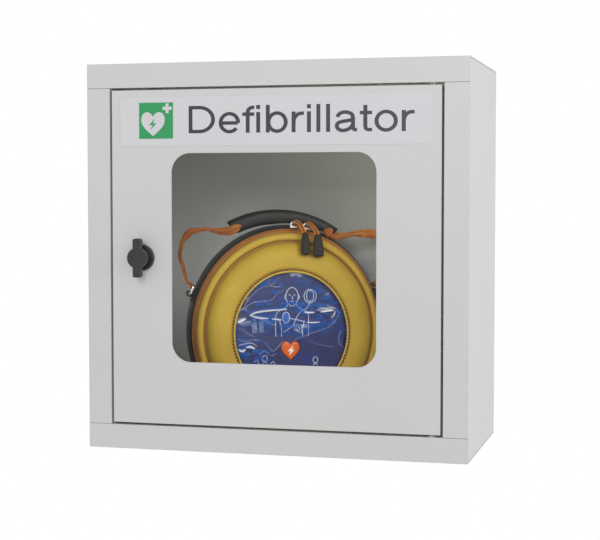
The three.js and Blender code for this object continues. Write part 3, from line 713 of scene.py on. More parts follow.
def glyphs():
    """Centre lines of plain upright letters, from each one's left side and foot."""
    left, low, high, mid = STEM / 2, LEVEL / 2 - 0.5, WAIST - LEVEL / 2 + 0.5, WAIST / 2
    tall = [(left, 0), (left, CAP)]
    short = [(left, 0), (left, WAIST)]
    cap = CAP - LEVEL / 2
    return {
        "D": [tall, [(left, cap), *arc(11.6, CAP / 2, 14.6, cap - CAP / 2, 90, -90, 24), (left, LEVEL / 2)]],
        "e": [arc(11.5, mid, 9.35, high - mid, -2, 322, 40), [(2.3, mid - 0.3), (20.6, mid - 0.3)]],
        "f": [[(5.7, 0), (5.7, 20), *arc(11.4, 20.6, 5.7, 4.9, 165, 90, 10), (12.6, 25.4)],
              [(0, 18.7), (12.6, 18.7)]],
        "i": [short, [(left, 23.7), (left, CAP)]],
        "b": [tall, arc(11.75, mid, 9.05, high - mid, 0, 360, 40)],
        "r": [short, [(left, 10.4), (2.6, 13.6), (4.4, 16.4), (6.8, 18.2), (9.6, 18.9), (12.8, 18.8)]],
        "l": [tall],
        "a": [[(3.1, 14.6), *arc(10.8, 15, 7.6, high - 15, 168, 12, 20), (18.7, 13.6), (18.7, 4.6), (19.2, 2.6),
               (20.6, 1.9), (22.8, 2.0)],
              [(18.7, 12.4), (15.6, 11.3), (9.8, 10.5), *arc(8.6, 5.8, 6.4, 4.6, 128, 300, 18), (14.6, 2.7),
               (17.2, 4.8), (18.7, 7.4)]],
        "t": [[(5.4, 26.2), (5.4, 5.2), (5.9, 3.0), (7.4, 2.0), (9.4, 1.8), (12.2, 1.8)],
              [(-0.2, 18.7), (12.2, 18.7)]],
        "o": [arc(11.6, mid, 9.7, high - mid, 0, 360, 44)],
    }


def lettering():
    """The word on the label. Strokes are drawn narrow and then stretched, so uprights come out heavier."""
    stretch = STEM / LEVEL
    shapes = glyphs()
    strokes = []
    for letter, at in LETTERS:
        for i, line in enumerate(shapes[letter]):
            points = [((at + x) / stretch, LABEL.z + LETTER_BASE + z) for x, z in line]
            closed = (Vector(points[0]) - Vector(points[-1])).length < 1e-6
            front = LABEL_FACE - INK - STROKE_STEP * i
            strokes.append(ribbon(points, LEVEL, closed, front, front + INK * 0.9))
    place = ROW @ Matrix.Diagonal((stretch, 1, 1, 1))
    piece("door_lettering", *gather(*strokes), INK_DARK, "door", "label_film", place, smooth=False)


SIGN = (-123.8, 141.0)                        # middle of the green square, x and z
SIGN_SIDE = 37


def sign():
    """Green first-aid square with a heart, a bolt and a cross, printed in layers on the label."""
    x, z = SIGN
    corner = SIGN_SIDE / 2
    layers = [
        ("sign_border", [square(x, z, SIGN_SIDE + 4, SIGN_SIDE + 3.5)], INK_WHITE),
        ("sign_square", [square(x, z, SIGN_SIDE, SIGN_SIDE)], INK_GREEN),
        ("sign_heart", [heart(x - 3.3, z - 3.7, 25.6, 24.6),
                        cross(x + corner - 6.4, z + corner - 6, 5, 1.65)], INK_WHITE),
        ("sign_bolt", [bolt(x - 3.7, z - 3.8, 8.2, 11.8)], INK_GREEN),
    ]
    for depth, (name, outlines, ink) in enumerate(layers):
        front = LABEL_FACE - INK * (depth + 1)
        verts, faces = gather(*[plate(outline, front, front + INK * 0.9) for outline in outlines])
        piece(name, verts, faces, ink, "door", "label_film", ROW, smooth=False)


# ---- Carry case ----
FRONT_EDGE, BACK_EDGE, BACK_Y = -4.8, 3.0, 46.0    # y of the zip's two sides and of the case's back
STITCHES = 118                               # round the window
TEETH_COUNT = 300


def soft_drift(x, y, z, size, amount):
    return amount * noise.noise(Vector((x / size, y / size, z / size)))


def case_back():
    """Black moulded back that swells behind the zip, with a shallow pressed panel behind."""
    edge, bend, wall, lip = RIM, 22, 3, 111.8
    outer = [(lip - 2, BACK_EDGE), (lip - 0.5, BACK_EDGE + 0.4), (lip + 0.4, BACK_EDGE + 1.6), (lip + 1.7, 8)]
    outer += [(edge - 0.4, 11.5), (edge, 14.5), (edge, 17), (edge - 0.7, 18.2), (edge, 19.4)]
    outer += [(edge, BACK_Y - bend)]
    outer += arc(edge - bend, BACK_Y - bend, bend, bend, 0, 90, 12)[1:]
    outer += [(78, BACK_Y), (75, BACK_Y - 0.9), (72, BACK_Y - 1), (40, BACK_Y - 1), (0.5, BACK_Y - 1)]
    inner = [(0.5, BACK_Y - wall - 0.5), (60, BACK_Y - wall - 0.5)]
    inner += arc(edge - bend, BACK_Y - bend, bend - wall, bend - wall, 90, 0, 8)
    inner += [(edge - wall, 14), (lip - wall, BACK_EDGE)]
    verts, faces = revolve_capped([*inner, *outer][::-1], 160)
    piece("case_back_cover", verts, faces, BLACK_CLOTH, "housing", "case_black", stands_for=["case_back_shell"])


def front_profile():
    """Rolled bead, tight groove, domed ring, and the sewn edge round the window."""
    edge = 107
    outer = [(edge - 1, FRONT_EDGE + 0.6), (edge, FRONT_EDGE - 1.4)]
    outer += arc(edge - 5, -9, 5, 5, -4, -115, 12)
    outer += [(99.0, -12.9), (98.2, -12.2), (97.4, -12.1), (96.8, -12.9)]
    outer += arc(78, -13, 18.5, 14.5, -12, -90, 16)
    outer += [(72.4, -27.5), (70.6, -27.2), (69.6, -26.5), (68.7, -26.1), (68.1, -26.4), (67.6, -26.2)]
    outer += [(67.5, -25.4)]
    inner = [(67.5, -23.8), (74, -23.8), (78, -23.6), (86, -21.8), (92, -17), (94, -11), (101, -5.6)]
    return outer + inner


def pucker(radius, y, angle):
    near = math.exp(-((radius - 70.0) / 1.6) ** 2) if y < -24 else 0
    y += 0.22 * near * math.cos(STITCHES * angle)
    if y < -12:
        y += soft_drift(radius * math.sin(angle), 0, radius * math.cos(angle), 30, 0.5)
    return radius, y


def case_front():
    verts, faces = revolve(front_profile(), 4 * STITCHES, pucker)
    piece("case_front_cover", verts, faces, YELLOW, "housing", "case_yellow", stands_for=["case_front_shell"])

    def twill(radius, y, angle):
        return radius + 0.08 * math.cos(3 * STITCHES * angle + y), y
    verts, faces = revolve(arc(66.3, -26.8, 1.1, 1.2, 0, 324, 9), 480, twill)
    piece("case_window_binding", verts, faces, PIPING, "housing", "case_yellow",
          stands_for=["case_window_piping"])

    verts, faces = scatter(blob(1.5, 1.2, 2.5), round_the_case(STITCHES, 68.5, -26.5))
    piece("case_window_stitches", verts, faces, THREAD, "housing", "case_yellow")


def case_zip():
    """Two tapes with a coil of teeth standing between them."""
    tape = [(109.3, 2.7), (111.3, 2.7), (111.0, 1.6), (110.5, 0.7), (110.0, 0.2), (109.9, -0.9), (109.3, -1.8),
            (108.9, -2.6), (108.2, -3.6), (107.6, -4.7), (105.4, -4.7), (107, -1)]
    verts, faces = revolve(tape, 240)
    piece("case_zip_tape", verts, faces, ZIP_TAPE, "housing", "zip_tape", stands_for=["case_zip"])
    slope = math.atan2(1.9, 3.65)
    grain = blob(1.25, 2.5, 1.5, 4, 6)
    verts, faces = scatter(grain, round_the_case(TEETH_COUNT, 110.6, -0.9, slope))
    piece("case_zip_teeth", verts, faces, TEETH, "housing", "zip_tape")


FILM_RADIUS, FILM_Y, FILM_THICK = 67.2, -25.0, 0.2
# Folds in the film: (x, z) points, width, height, and how strongly the crest shows painted white glint, painted
# lilac glint and painted blue glow.
FOLDS = [
    ([(-45, 20), (-38, 22.8), (-24, 24.6), (-5, 25.6)], 0.75, 1.4, 1.0, 0, 0.5),
    ([(-45, 20), (-38, 17.6), (-32, 16.6), (-25, 16)], 0.7, 1.0, 1.0, 0, 0.5),
    ([(-21, 15.6), (-16, 15), (-11, 14.4)], 0.7, 1.0, 0.9, 0, 0.6),
    ([(14, 22.4), (19, 22), (25, 22)], 0.75, 1.4, 1.0, 0, 0.6),
    ([(32, 22.4), (40, 23.6), (46, 24)], 0.9, 1.5, 1.0, 0, 0.4),
    ([(17, 11.4), (24, 11), (31, 11.4)], 0.6, 1.0, 0.9, 0, 0.6),
    ([(44, 16), (47, 19), (48, 23)], 0.6, 0.8, 0.8, 0, 0.2),
    ([(-58, 12.6), (-55, 14.2), (-50, 16.4)], 1.5, 1.6, 1.0, 0, 0.2),
    ([(-57, -17), (-53, -18.5), (-50, -16.5)], 0.9, 1.5, 1.0, 0, 0.6),
    ([(-49, -14.4), (-44, -14), (-40, -16.2)], 0.9, 1.5, 1.0, 0, 0.6),
    ([(-30, 12), (-10, 6), (10, 4), (30, 7), (44, 12)], 5, 0.5, 0, 0, 0.8),
    ([(-34, 30), (-10, 30), (16, 27), (42, 29)], 4, 0.4, 0, 0, 0.75),
    ([(-52, -22), (-40, -24), (-28, -26)], 4, 0.4, 0, 0, 0.8),
    ([(-40, 52), (-32, 56), (-24, 58)], 4, 0.3, 0, 0, 0.6),
    ([(-16.5, 45), (-13.5, 47)], 2.6, 0.3, 0, 0, 1.2),
    ([(24, 42), (38, 38), (46, 30)], 3.5, 0.3, 0, 0, 0.5),
    ([(-14, 61), (-21, 52), (-33, 49), (-42, 42), (-50, 32), (-49.5, 28), (-42, 33), (-22, 36), (-16, 42),
      (-6, 48)], 0.45, 0.7, 0, 0.55, 0.1),
    ([(52, 18), (46, 10), (38, 4.5), (18, -2), (1, -8)], 0.5, 0.6, 0, 0.5, 0.1),
    ([(-29, -10), (-24, -15), (-20, -19), (-14, -14), (-9, -8)], 0.5, 0.8, 0, 0.6, 0.1),
    ([(-58, 6), (-52, 4), (-48, 0), (-40, -3)], 0.5, 0.5, 0, 0.35, 0.1),
    ([(55, 2), (52, -5), (53, -12), (57, -16)], 0.6, 0.6, 0, 0.4, 0.2),
    ([(20, -9), (34, -14), (46, -16)], 0.5, 0.4, 0, 0.22, 0.1),
    ([(-54, 8), (-46, 10), (-41, 7.4), (-36, 4)], 0.5, 0.5, 0, 0.5, 0.3),
    ([(-58, -6), (-50, -8), (-42, -6.4), (-34, -8)], 0.5, 0.5, 0, 0.45, 0.4),
    ([(-57, -12), (-50, -10.4), (-43, -10), (-37, -13.6)], 0.45, 0.5, 0.5, 0, 0.5),
    ([(38, 30), (46, 27), (54, 20)], 0.45, 0.5, 0, 0.55, 0.4),
    ([(30, 27), (38, 26), (45, 27.4)], 0.4, 0.5, 0.45, 0, 0.5),
    ([(33, 19), (40, 18), (45, 19.4)], 1.6, 0.3, 0, 0, 0.7),
    ([(-36, -24), (-30, -19), (-22, -24), (-16, -22)], 0.5, 0.5, 0, 0.4, 0.4),
    ([(-28, 58), (-20, 50), (-12, 50)], 0.5, 0.5, 0, 0.35, 0.5),
    ([(8, 55), (22, 50), (34, 44)], 3.0, 0.3, 0, 0, 0.35),
    ([(-57, 24), (-52, 27), (-48, 25)], 0.6, 0.5, 0.25, 0.3, 0.4),
    ([(28, 24.6), (38, 25.6), (48, 26.4)], 1.8, 0.3, 0.28, 0, 0.3),
    ([(-56, 10.5), (-50, 12), (-44, 13.2)], 1.6, 0.3, 0.22, 0, 0.3),
]


def fold_maps(x, z):
    """At arrays of places: the height of the creases, and their shares of painted white glint, lilac glint and
    blue glow.
    """
    maps = np.zeros((4, *x.shape))
    for points, width, height, glint, painted_shade_and_glint, glow in FOLDS:
        path = smooth_path([(px, 0, pz) for px, pz in points], 6)
        near = np.full_like(x, 1e9)
        share = np.zeros_like(x)
        for i, (a, b) in enumerate(zip(path, path[1:])):
            run = np.array([b.x - a.x, b.z - a.z])
            t = np.clip(((x - a.x) * run[0] + (z - a.z) * run[1]) / run.dot(run), 0, 1)
            away = np.hypot(x - a.x - t * run[0], z - a.z - t * run[1])
            share = np.where(away < near, (i + t) / (len(path) - 1), share)
            near = np.minimum(near, away)
        taper = 0.35 + 0.65 * np.sqrt(np.sin(math.pi * np.clip(share, 0, 1)))
        crest = np.exp(-(near / (width * taper)) ** 2)
        wide = np.exp(-(near / (2.4 + width)) ** 2)
        maps += np.array([height, glint, painted_shade_and_glint, 0])[:, None, None] * crest
        maps[3] += glow * wide
    return maps


def window_film():
    rings, around = 130, 420
    radius = np.linspace(0.4, FILM_RADIUS, rings)[:, None]
    angle = np.linspace(0, 2 * math.pi, around, endpoint=False)[None, :]
    x, z = OVAL * radius * np.sin(angle), radius * np.cos(angle)
    drift = np.vectorize(lambda px, pz: soft_drift(px, 7, pz * 1.6, 24, 1.3) + soft_drift(px, 3, pz, 8, 0.35))
    calm = np.clip((FILM_RADIUS - radius) / 6, 0, 1)
    lift, *shares = fold_maps(x, z)
    front = FILM_Y - (lift + 0.9 + drift(x, z)) * calm
    verts = [place for y in (front, front + FILM_THICK) for place in zip(x.ravel(), y.ravel(), z.ravel())]
    faces = grid_faces(rings, around, False, True)
    count = rings * around
    back = [tuple(count + i for i in reversed(face)) for face in faces]
    rim = [((rings - 1) * around + j, (rings - 1) * around + (j + 1) % around) for j in range(around)]
    hub = [(j, (j + 1) % around) for j in range(around)]
    walls = [(a, b, count + b, count + a) for a, b in rim] + [(b, a, count + a, count + b) for a, b in hub]
    sheet = piece("case_window_sheet", verts, faces + back + walls, FILM, "housing", "clear_film",
                  stands_for=["case_window_film"])
    # Maps of painted light for the film's shader: white glints, lilac glints and blue glow, each capped.
    for name, values, most in zip(("glint", "painted_shade_and_glint", "glow"), shares, (1, 0.75, 0.6)):
        layer = sheet.data.attributes.new(name, "FLOAT", "POINT")
        front_values = np.clip(values, 0, most).ravel()
        layer.data.foreach_set("value", np.concatenate([front_values, np.zeros(count)]))


def carry_case():
    case_back()
    case_front()
    case_zip()
    window_film()
    dress(BLACK_CLOTH, "strap_anchor_left", "strap_anchor_right", edge=0.3)
    dress(FOAM, "case_foam_insert")


# ---- Handle ----
BAR = (101.9, 49.0)                          # outer bar of the strap ring, from the case's axis
ARCH_CENTRE, ARCH_RADIUS = (-9, 14.2), 110
ARCH_LEFT, ARCH_RIGHT = -57.6, 52            # x of the grip's ends
GATHER = 9.8                                 # width of the gathered section below
# Each side of the strap from its ring to where it tucks into the front of the grip:
# distance out from the middle, y, z, width, and turn in degrees.
STRAP_LEFT = [
    (102.6, 12.5, 51.2, 3.2, 0), (108.2, 12.5, 54.4, 4.4, 30), (110.2, 12.5, 63.2, 4.8, -15),
    (112.9, 12.5, 72.8, 4.6, 20), (114.9, 12.5, 81.4, 4.4, -20), (114.4, 12.5, 89.8, 4.2, 10),
    (111.2, 12.5, 98.8, 6.0, -20), (106.8, 12.5, 105.4, 8.6, 15), (102.0, 12.5, 108.6, 8.0, -10),
    (94.0, 12.5, 110.4, 5.4, 25), (84.6, 12.5, 110.8, 3.8, -30), (77.6, 12.2, 109.6, 6.0, 25),
    (70.0, 9.0, 108.4, 9.2, -25), (63.0, 3.2, 109.4, 10.2, 15), (57.0, -0.4, 111.6, 9.4, -5),
    (52.4, 0.6, 113.6, 7.0, 0), (49.6, 4.6, 114.0, 5.0, 0),
]
STRAP_RIGHT = [
    (102.6, 12.5, 51.2, 3.2, 0), (109.0, 12.5, 57.5, 4.5, 20), (112.4, 12.5, 71.0, 4.8, -15),
    (115.0, 12.5, 87.0, 4.8, 15), (111.6, 12.5, 97.0, 7.0, -15), (106.6, 12.5, 102.6, 9.0, 20),
    (98.0, 12.5, 104.8, 10.6, -12), (88.4, 12.5, 105.4, 9.8, 20), (79.0, 12.5, 105.2, 7.0, -30),
    (71.0, 12.5, 104.0, 6.0, 24), (64.0, 11.8, 102.8, 8.0, -20), (57.6, 8.4, 102.6, 9.4, 22),
    (51.6, 3.6, 104.6, 11.0, -8), (46.8, -0.4, 107.0, 10.6, 5), (43.6, 1.0, 108.8, 8.0, 0),
    (41.2, 5.0, 110.0, 5.0, 0),
]


def arch(start, end, steps):
    first, last = [math.asin((x - ARCH_CENTRE[0]) / ARCH_RADIUS) for x in (start, end)]
    angles = [first + (last - first) * i / steps for i in range(steps + 1)]
    return [(ARCH_CENTRE[0] + ARCH_RADIUS * math.sin(a), STRAP_Y, ARCH_CENTRE[1] + ARCH_RADIUS * math.cos(a))
            for a in angles]


def between(keys, share, column):
    for low, high in zip(keys, keys[1:]):
        if share <= high[0]:
            t = (share - low[0]) / (high[0] - low[0])
            return low[column] + (high[column] - low[column]) * t * t * (3 - 2 * t)
    return keys[-1][column]


def strap_half(sign, stations):
    """Webbing gathered lengthwise into a loose fold, so its section is a shallow V."""
    section = [(-3.4, 0.6), (-2.2, 2.8), (1.3, 4.9), (2.4, 4.2), (-0.6, 2.0), (-1.9, 0.4), (0.6, -1.6),
               (2.8, -4.0), (1.6, -4.9), (-1.0, -3.2), (-0.6, -1.9)]
    path = smooth_path([(sign * x, y, z) for x, y, z, _, _ in stations], 8)
    keys = [(i / (len(stations) - 1), width / GATHER, sign * turn)
            for i, (_, _, _, width, turn) in enumerate(stations)]
    return sweep(path, section, twist=lambda share: between(keys, share, 2),
                 scale=lambda share: (0.62, between(keys, share, 1)))


def strap():
    for name, sign, stations in (("left", -1, STRAP_LEFT), ("right", 1, STRAP_RIGHT)):
        verts, faces, uvs = strap_half(sign, stations)
        stands_for = ["carry_strap"] if sign < 0 else ()
        band = piece(f"strap_{name}", verts, faces, WEBBING, "handle", "orange_webbing", stands_for=stands_for,
                     uvs=uvs)
        soften(band, 0.25, 2, 40)
        bar = Vector((sign * BAR[0], STRAP_Y, BAR[1]))
        verts, section = [], round_section(12, 1.5, 5, 16)
        for i in range(24):
            angle = 2 * math.pi * i / 24
            outward = Vector((math.cos(angle), 0, math.sin(angle)))
            verts += [bar + outward * (2.35 + v) + Vector((0, u, 0)) for u, v in section]
        piece(f"strap_loop_{name}", verts, grid_faces(24, 16, True, True), WEBBING, "handle", "orange_webbing",
              uvs=[(vert[1], vert[0] + vert[2]) for vert in verts])


def grip():
    """Padded sleeve with open ends that take the strap; its underside clears the case."""
    path = [Vector(point) for point in arch(ARCH_LEFT, ARCH_RIGHT, 48)]
    section = round_section(22, 16, 3.4, 32)
    rows = []
    for i, point in enumerate(path):
        share = i / (len(path) - 1)
        out = Vector((point.x - ARCH_CENTRE[0], 0, point.z - ARCH_CENTRE[1])).normalized()
        ahead = Vector((out.z, 0, -out.x))
        slant = (share - 0.5) * max(0, abs(share - 0.5) * 2 - 0.85) / 0.15
        row = []
        for u, v in section:
            vert = point + Vector((0, u, 0)) + out * v + ahead * slant * v * 0.55
            case_edge = (RIM + 2.2) * math.sqrt(max(0, 1 - (vert.x / OVAL / (RIM + 2.2)) ** 2))
            if vert.z < case_edge:
                vert.z = case_edge
            row.append(vert)
        rows.append(row)

    def mouth(row, inward):
        centre = sum(row, Vector()) / len(row)
        return [[centre + (vert - centre) * shrink + inward * depth for vert in row]
                for shrink, depth in ((0.94, -0.5), (0.8, -0.2), (0.7, 1.2), (0.66, 9))]
    start = mouth(rows[0], (path[1] - path[0]).normalized())
    end = mouth(rows[-1], (path[-2] - path[-1]).normalized())
    rows = [*reversed(start), *rows, *end]
    verts = [vert for row in rows for vert in row]
    faces = tube_faces(len(rows), len(section))
    piece("grip_cover", verts, faces, GRIP, "handle", "grip_cover", stands_for=["handle_grip"])
    places = []
    for point in [Vector(p) for p in arch(ARCH_LEFT + 5, ARCH_RIGHT - 5, 38)]:
        out = Vector((point.x - ARCH_CENTRE[0], 0, point.z - ARCH_CENTRE[1])).normalized()
        along = Vector((out.z, 0, -out.x))
        spot = point + out * -3.5 + Vector((0, -10.9, 0))
        places.append(Matrix.Translation(spot) @ Matrix((along, out.cross(along), out)).transposed().to_4x4())
    verts, faces = scatter(blob(1.7, 0.7, 0.6), places)
    piece("grip_stitches", verts, faces, BLACK, "handle", "grip_cover")


def handle():
    strap()
    grip()
    dress(NICKEL, "strap_ring_left", "strap_ring_right", edge=0.45)


# ---- Zip sliders and pulls ----

def pulls():
    """A doubled cord through each slider's wire, down to a moulded end that widens to its tip."""
    strand = [(7.2, -20.3, -10.6), (4.8, -15.5, -3.6), (1.6, -8, 0.9), (0.3, -2.4, 2.0), (0, 0.4, 2.0),
              (-0.2, 2.1, 0.2), (0, 0.7, -1.95), (1.0, -3.8, -2.3), (4.0, -11, -3.6), (7.0, -17.4, -8.4),
              (8.2, -20.6, -11)]
    top, tip = Vector((7.5, -20.5, -11)), Vector((6.5, -31, -33.2))
    length = (tip - top).length
    shape = [(0, 4.6, 3.2), (0.02, 5.8, 4.0), (0.07, 6.9, 4.7), (0.18, 7.6, 5.0), (0.34, 8.6, 5.1),
             (0.38, 8.1, 4.7), (0.42, 8.9, 5.1), (0.50, 9.3, 5.1), (0.54, 8.8, 4.7), (0.58, 9.5, 5.1),
             (0.66, 9.7, 5.1), (0.70, 9.1, 4.7), (0.74, 9.7, 5.1), (0.86, 9.6, 4.9), (0.95, 9.3, 4.5),
             (0.985, 8.8, 4.1), (1, 7.8, 3.4)]
    for side, wider in (("left", 0.98), ("right", 1.18)):
        wire = CASE.inverted() @ Vector(JOINTS[f"pull_{side}_lift"]["pos_m"])
        place = CASE @ Matrix.Translation(wire)
        for name, shift in (("outer", 1.3), ("inner", -1.3)):
            line = smooth_path([(x + shift, y, z + 0.3 * shift) for x, y, z in strand], 6)
            verts, faces, uvs = sweep(line, round_section(2.0, 1.9, 2, 10), Vector((1, 0, 0)))
            stands_for = [f"zip_cord_{side}"] if name == "outer" else ()
            piece(f"pull_cord_{name}_{side}", verts, faces, CORD, f"pull_{side}", "orange_webbing", place,
                  stands_for, uvs)
        down = (tip - top).normalized()
        front = down.cross(Vector((1, 0, 0))).normalized()
        verts = []
        for share, width, depth in shape:
            centre = top + down * length * share
            verts += [centre + Vector((wider, 0, 0)) * u + front * v
                      for u, v in round_section(width, depth, 3.2, 20)]
        faces = tube_faces(len(shape), 20)
        end = piece(f"pull_end_{side}", verts, faces, RUBBER, f"pull_{side}", "black_rubber", place,
                    [f"zip_pull_end_{side}"])
        smoother = end.modifiers.new("round", "SUBSURF")
        smoother.levels = smoother.render_levels = 1
    dress(NICKEL, "zip_slider_left", "zip_slider_right", edge=0.4)


# ---- Defibrillator ----
PRINT_Y, PRINT = -20.66, 0.12                # front of the print on the unit's face, and its thickness
PRINT_BACK = PRINT_Y + PRINT * 0.8
HEART_Z = -19.4                              # middle of the heart-shaped key
LINE = 0.72                                  # width of a printed line


def ellipse(x, z, width, height, steps=28, start=0, end=360):
    return arc(x, z, width / 2, height / 2, start, end, steps)


def patient_lines():
    """Line drawing of a person with two pads, as on any unit of this kind."""
    head_x, head_z = 1.8, 38.7
    head = []
    for px, pz in ellipse(head_x, head_z, 13.6, 20, 40):
        narrow = 1 - 0.22 * max(0, (head_z - pz) / 10) ** 1.5
        head.append((head_x + (px - head_x) * narrow, pz))
    lines = [(head, True)]
    for sign in (-1, 1):
        def mirror(points):
            return [(head_x + sign * px, pz) for px, pz in points]
        lines += [
            (mirror(ellipse(7.0, 38.4, 1.8, 4.6, 10, -90, 90)), False),
            (mirror([(4.8, 31.2), (5.2, 29), (8.4, 26.2), (13, 24.3), (16.6, 22), (18, 18), (18.1, 8),
                     (17.7, -4)]), False),
            (mirror([(13.6, 13), (11.6, 5), (11.5, -4)]), False),
            (mirror(ellipse(2.6, 40.2, 2.2, 1.0, 8, 20, 160)), False),
        ]
    lead = [(21.6, 31.8), (18, 26.4), (12.5, 23.4), (8.4, 19), (5.2, 13), (2.4, 7), (-3, 3.4), (-7.6, 0.6)]
    lines += [
        ([(head_x, 39.4), (head_x + 0.7, 36.6), (head_x, 36.2)], False),
        (ellipse(head_x, 34.6, 4.2, 1.6, 8, 200, 340), False),
        (ellipse(-4.8, 16.4, 7.6, 11.8), True),
        ([(-1, 15.4), (6, 14.2), (15.2, 11.6)], False),
        ([(4.4, 8.2), (12.6, 8.2), (11.8, -0.6), (4.6, 3.0)], True),
        (ellipse(8.3, 4.4, 3.4, 4.4, 14), True),
        (ellipse(21.6, 39.2, 13.4, 14.6, 36), True),
        (ellipse(21.6, 39.4, 8.0, 11.6, 28), True),
        ([(v.x, v.z) for v in smooth_path([(x, 0, z) for x, z in lead], 5)], False),
    ]
    return lines


def small_lines():
    """Small step drawings on either side of the button."""
    lines = []
    for x, z in ((-28, -29.5), (27.5, -32)):
        lines += [(ellipse(x, z + 2, 5.4, 6.4, 20), True),
                  ([(x - 2.4, z - 3.4), (x, z - 1.4), (x + 2.4, z - 3.4)], False)]
    lines += [([(-40, -31), (-36.4, -29), (-34.4, -33.4)], False),
              ([(-22, -33), (-18.6, -30.6), (-16.6, -34)], False)]
    return lines


def face_print():
    lines = patient_lines() + small_lines()
    verts, faces = gather(*[ribbon(points, LINE, closed, PRINT_Y, PRINT_BACK) for points, closed in lines])
    # The face lines' pale ink carries a painted glow.
    piece("face_lines", verts, faces, INK_PALE_GLOW, "housing", "aed_overlay", smooth=False)
    figures = []
    for x, z in ((-39.2, 7.6), (-31.6, 8.0)):
        body = [(x - 2.2, z - 7.6), (x - 0.4, z - 7.6), (x, z - 1), (x + 0.4, z - 7.6), (x + 2.2, z - 7.6),
                (x + 2.7, z + 3.4), (x + 1.6, z + 4.6), (x - 1.6, z + 4.6), (x - 2.7, z + 3.4)]
        figures += [plate(body, PRINT_Y, PRINT_BACK),
                    plate(ellipse(x, z + 7.0, 3.6, 4.0, 16)[:-1], PRINT_Y, PRINT_BACK)]
    verts, faces = gather(*figures)
    piece("face_figures", verts, faces, INK_FIGURE, "housing", "aed_overlay", smooth=False)
    gel = plate(ellipse(-4.8, 16.4, 7.0, 11.2)[:-1], PRINT_Y + PRINT * 0.4, PRINT_BACK)
    piece("face_pad_tint", *gel, INK_PAD, "housing", "aed_overlay", smooth=False)


def shock_button():
    """Heart-shaped key with a soft dome and a raised bolt."""
    face = -22.3
    rings = [(1.0, -16.0), (1.0, face + 1.4), (0.985, face + 0.7), (0.94, face + 0.2), (0.86, face - 0.05),
             (0.6, face - 0.35), (0.3, face - 0.45)]
    outline = heart(0, HEART_Z, 19.4, 19.6, 16)
    verts = []
    for grow, y in rings:
        verts += [(grow * x, y, HEART_Z + 0.6 + grow * (z - HEART_Z - 0.6)) for x, z in outline]
    faces = tube_faces(len(rings), len(outline))
    # The key and its bolt carry a painted glow from their materials.
    piece("shock_key", verts, faces, ORANGE_GLOW, "shock_button", "shock_orange", stands_for=["aed_shock_button"])
    mark = plate(bolt(0.3, HEART_Z + 0.2, 7.4, 10.6), face - 0.8, face - 0.1)
    piece("shock_key_bolt", *mark, LIT_WHITE, "shock_button", "shock_orange", smooth=False)


def defibrillator():
    face_print()
    shock_button()
    dress(FACE, "aed_face_overlay")
    dress(SHELL_BLUE, "aed_front_housing", "aed_rear_housing")
    dress(RUBBER, "aed_seal")
    dress(GREEN, "aed_power_button", "aed_pads_tab", edge=0.4)
    dress(LENS, "aed_status_lens", edge=0.2)
    dress(ZINC, *[f"aed_screw_{i}" for i in range(1, 5)], edge=0.3)
    dress(BOARD, "aed_circuit_board")
    dress(SLEEVE, "aed_capacitor", "aed_battery_cell_left", "aed_battery_cell_right", edge=0.8)
    dress(COPPER, "aed_inductor", edge=0.8)
    dress(BLACK, "aed_speaker", edge=0.4)
    dress(TRAY, "aed_cartridge_tray", edge=0.3)
    dress(FOIL, "aed_pads_packet", edge=1.2)


# ---- Studio ----
SKY = 0.63                                   # light from the white surroundings
CAMERA_AT = (406.9, -1624.4, 68.25)
CAMERA_DOWN, CAMERA_ROUND, FOCAL = 0.0535, 0.2592, 87.914
CABINET_NODES = {
    "top_panel", "bottom_panel", "left_side_panel", "right_side_panel", "back_panel", "door_panel",
    "door_label", "window_pane", "window_tape", "hinge_bush_top", "hinge_bush_bottom", "hinge_pin_top",
    "hinge_pin_bottom", "lock_rosette", "lock_nut", "lock_spindle", "lock_cam", "cam_screw", "knob",
    "door_buffer_upper", "door_buffer_lower",
}


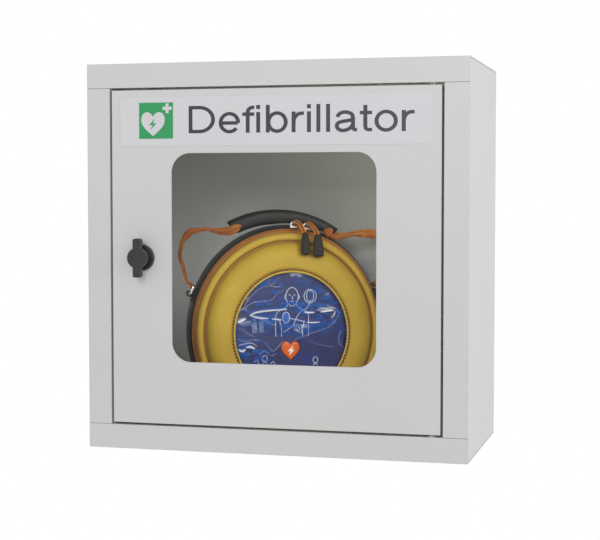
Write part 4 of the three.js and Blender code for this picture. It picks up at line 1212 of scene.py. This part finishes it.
def world():
    """White to the eye, softer as a source of light."""
    sky = bpy.data.worlds.new("studio")
    bpy.context.scene.world = sky
    sky.use_nodes = True
    tree = sky.node_tree
    seen = tree.nodes.new("ShaderNodeLightPath")
    level = tree.nodes.new("ShaderNodeMapRange")
    level.inputs["To Min"].default_value, level.inputs["To Max"].default_value = SKY, 1.0
    tree.links.new(seen.outputs["Is Camera Ray"], level.inputs["Value"])
    background = tree.nodes["Background"]
    background.inputs["Color"].default_value = grey(1)
    tree.links.new(level.outputs["Result"], background.inputs["Strength"])


def lamp(name, place, aim, side, power, colour=(1, 1, 1)):
    data = bpy.data.lights.new(name, "AREA")
    data.shape, data.size, data.energy, data.color = "SQUARE", side * MM, power, colour
    obj = bpy.data.objects.new(name, data)
    bpy.context.collection.objects.link(obj)
    obj.location = Vector(place) * MM
    obj.rotation_euler = (Vector(aim) - Vector(place)).to_track_quat("-Z", "Y").to_euler()
    return obj


def lamps():
    """Two large lamps for the cabinet, two small ones inside it, and one that lights only the contents."""
    lamp("front", (0, -2300, 750), (0, -100, -30), 700, 11)
    lamp("side", (2300, -350, 600), (200, -100, 0), 900, 20)
    lamp("inside_right", (135, -140, 150), (0, 0, 30), 40, 0.045, (1, 1, 0.72)).visible_camera = False
    lamp("inside_left", (-145, -130, -30), (-150, 0, -40), 40, 0.026).visible_camera = False
    spot = lamp("case_light", (1150, -1300, 560), (-15, -110, -80), 500, 7.4)
    contents = bpy.data.collections.new("case_and_contents")
    for obj in bpy.data.objects:
        on_cabinet = obj.name in CABINET_NODES or obj.name.startswith(("sign_", "door_"))
        if obj.type == "MESH" and not on_cabinet:
            contents.objects.link(obj)
    spot.light_linking.receiver_collection = contents
    spot.light_linking.blocker_collection = contents


def camera():
    data = bpy.data.cameras.new("camera")
    data.sensor_fit, data.sensor_width, data.lens = "HORIZONTAL", 36, FOCAL
    obj = bpy.data.objects.new("camera", data)
    bpy.context.collection.objects.link(obj)
    obj.location = Vector(CAMERA_AT) * MM
    obj.rotation_euler = (math.pi / 2 - CAMERA_DOWN, 0, CAMERA_ROUND)
    bpy.context.scene.camera = obj


cabinet()
lettering()
sign()
carry_case()
handle()
pulls()
defibrillator()
world()
lamps()
camera()
bpy.context.scene.view_settings.view_transform = "Standard"
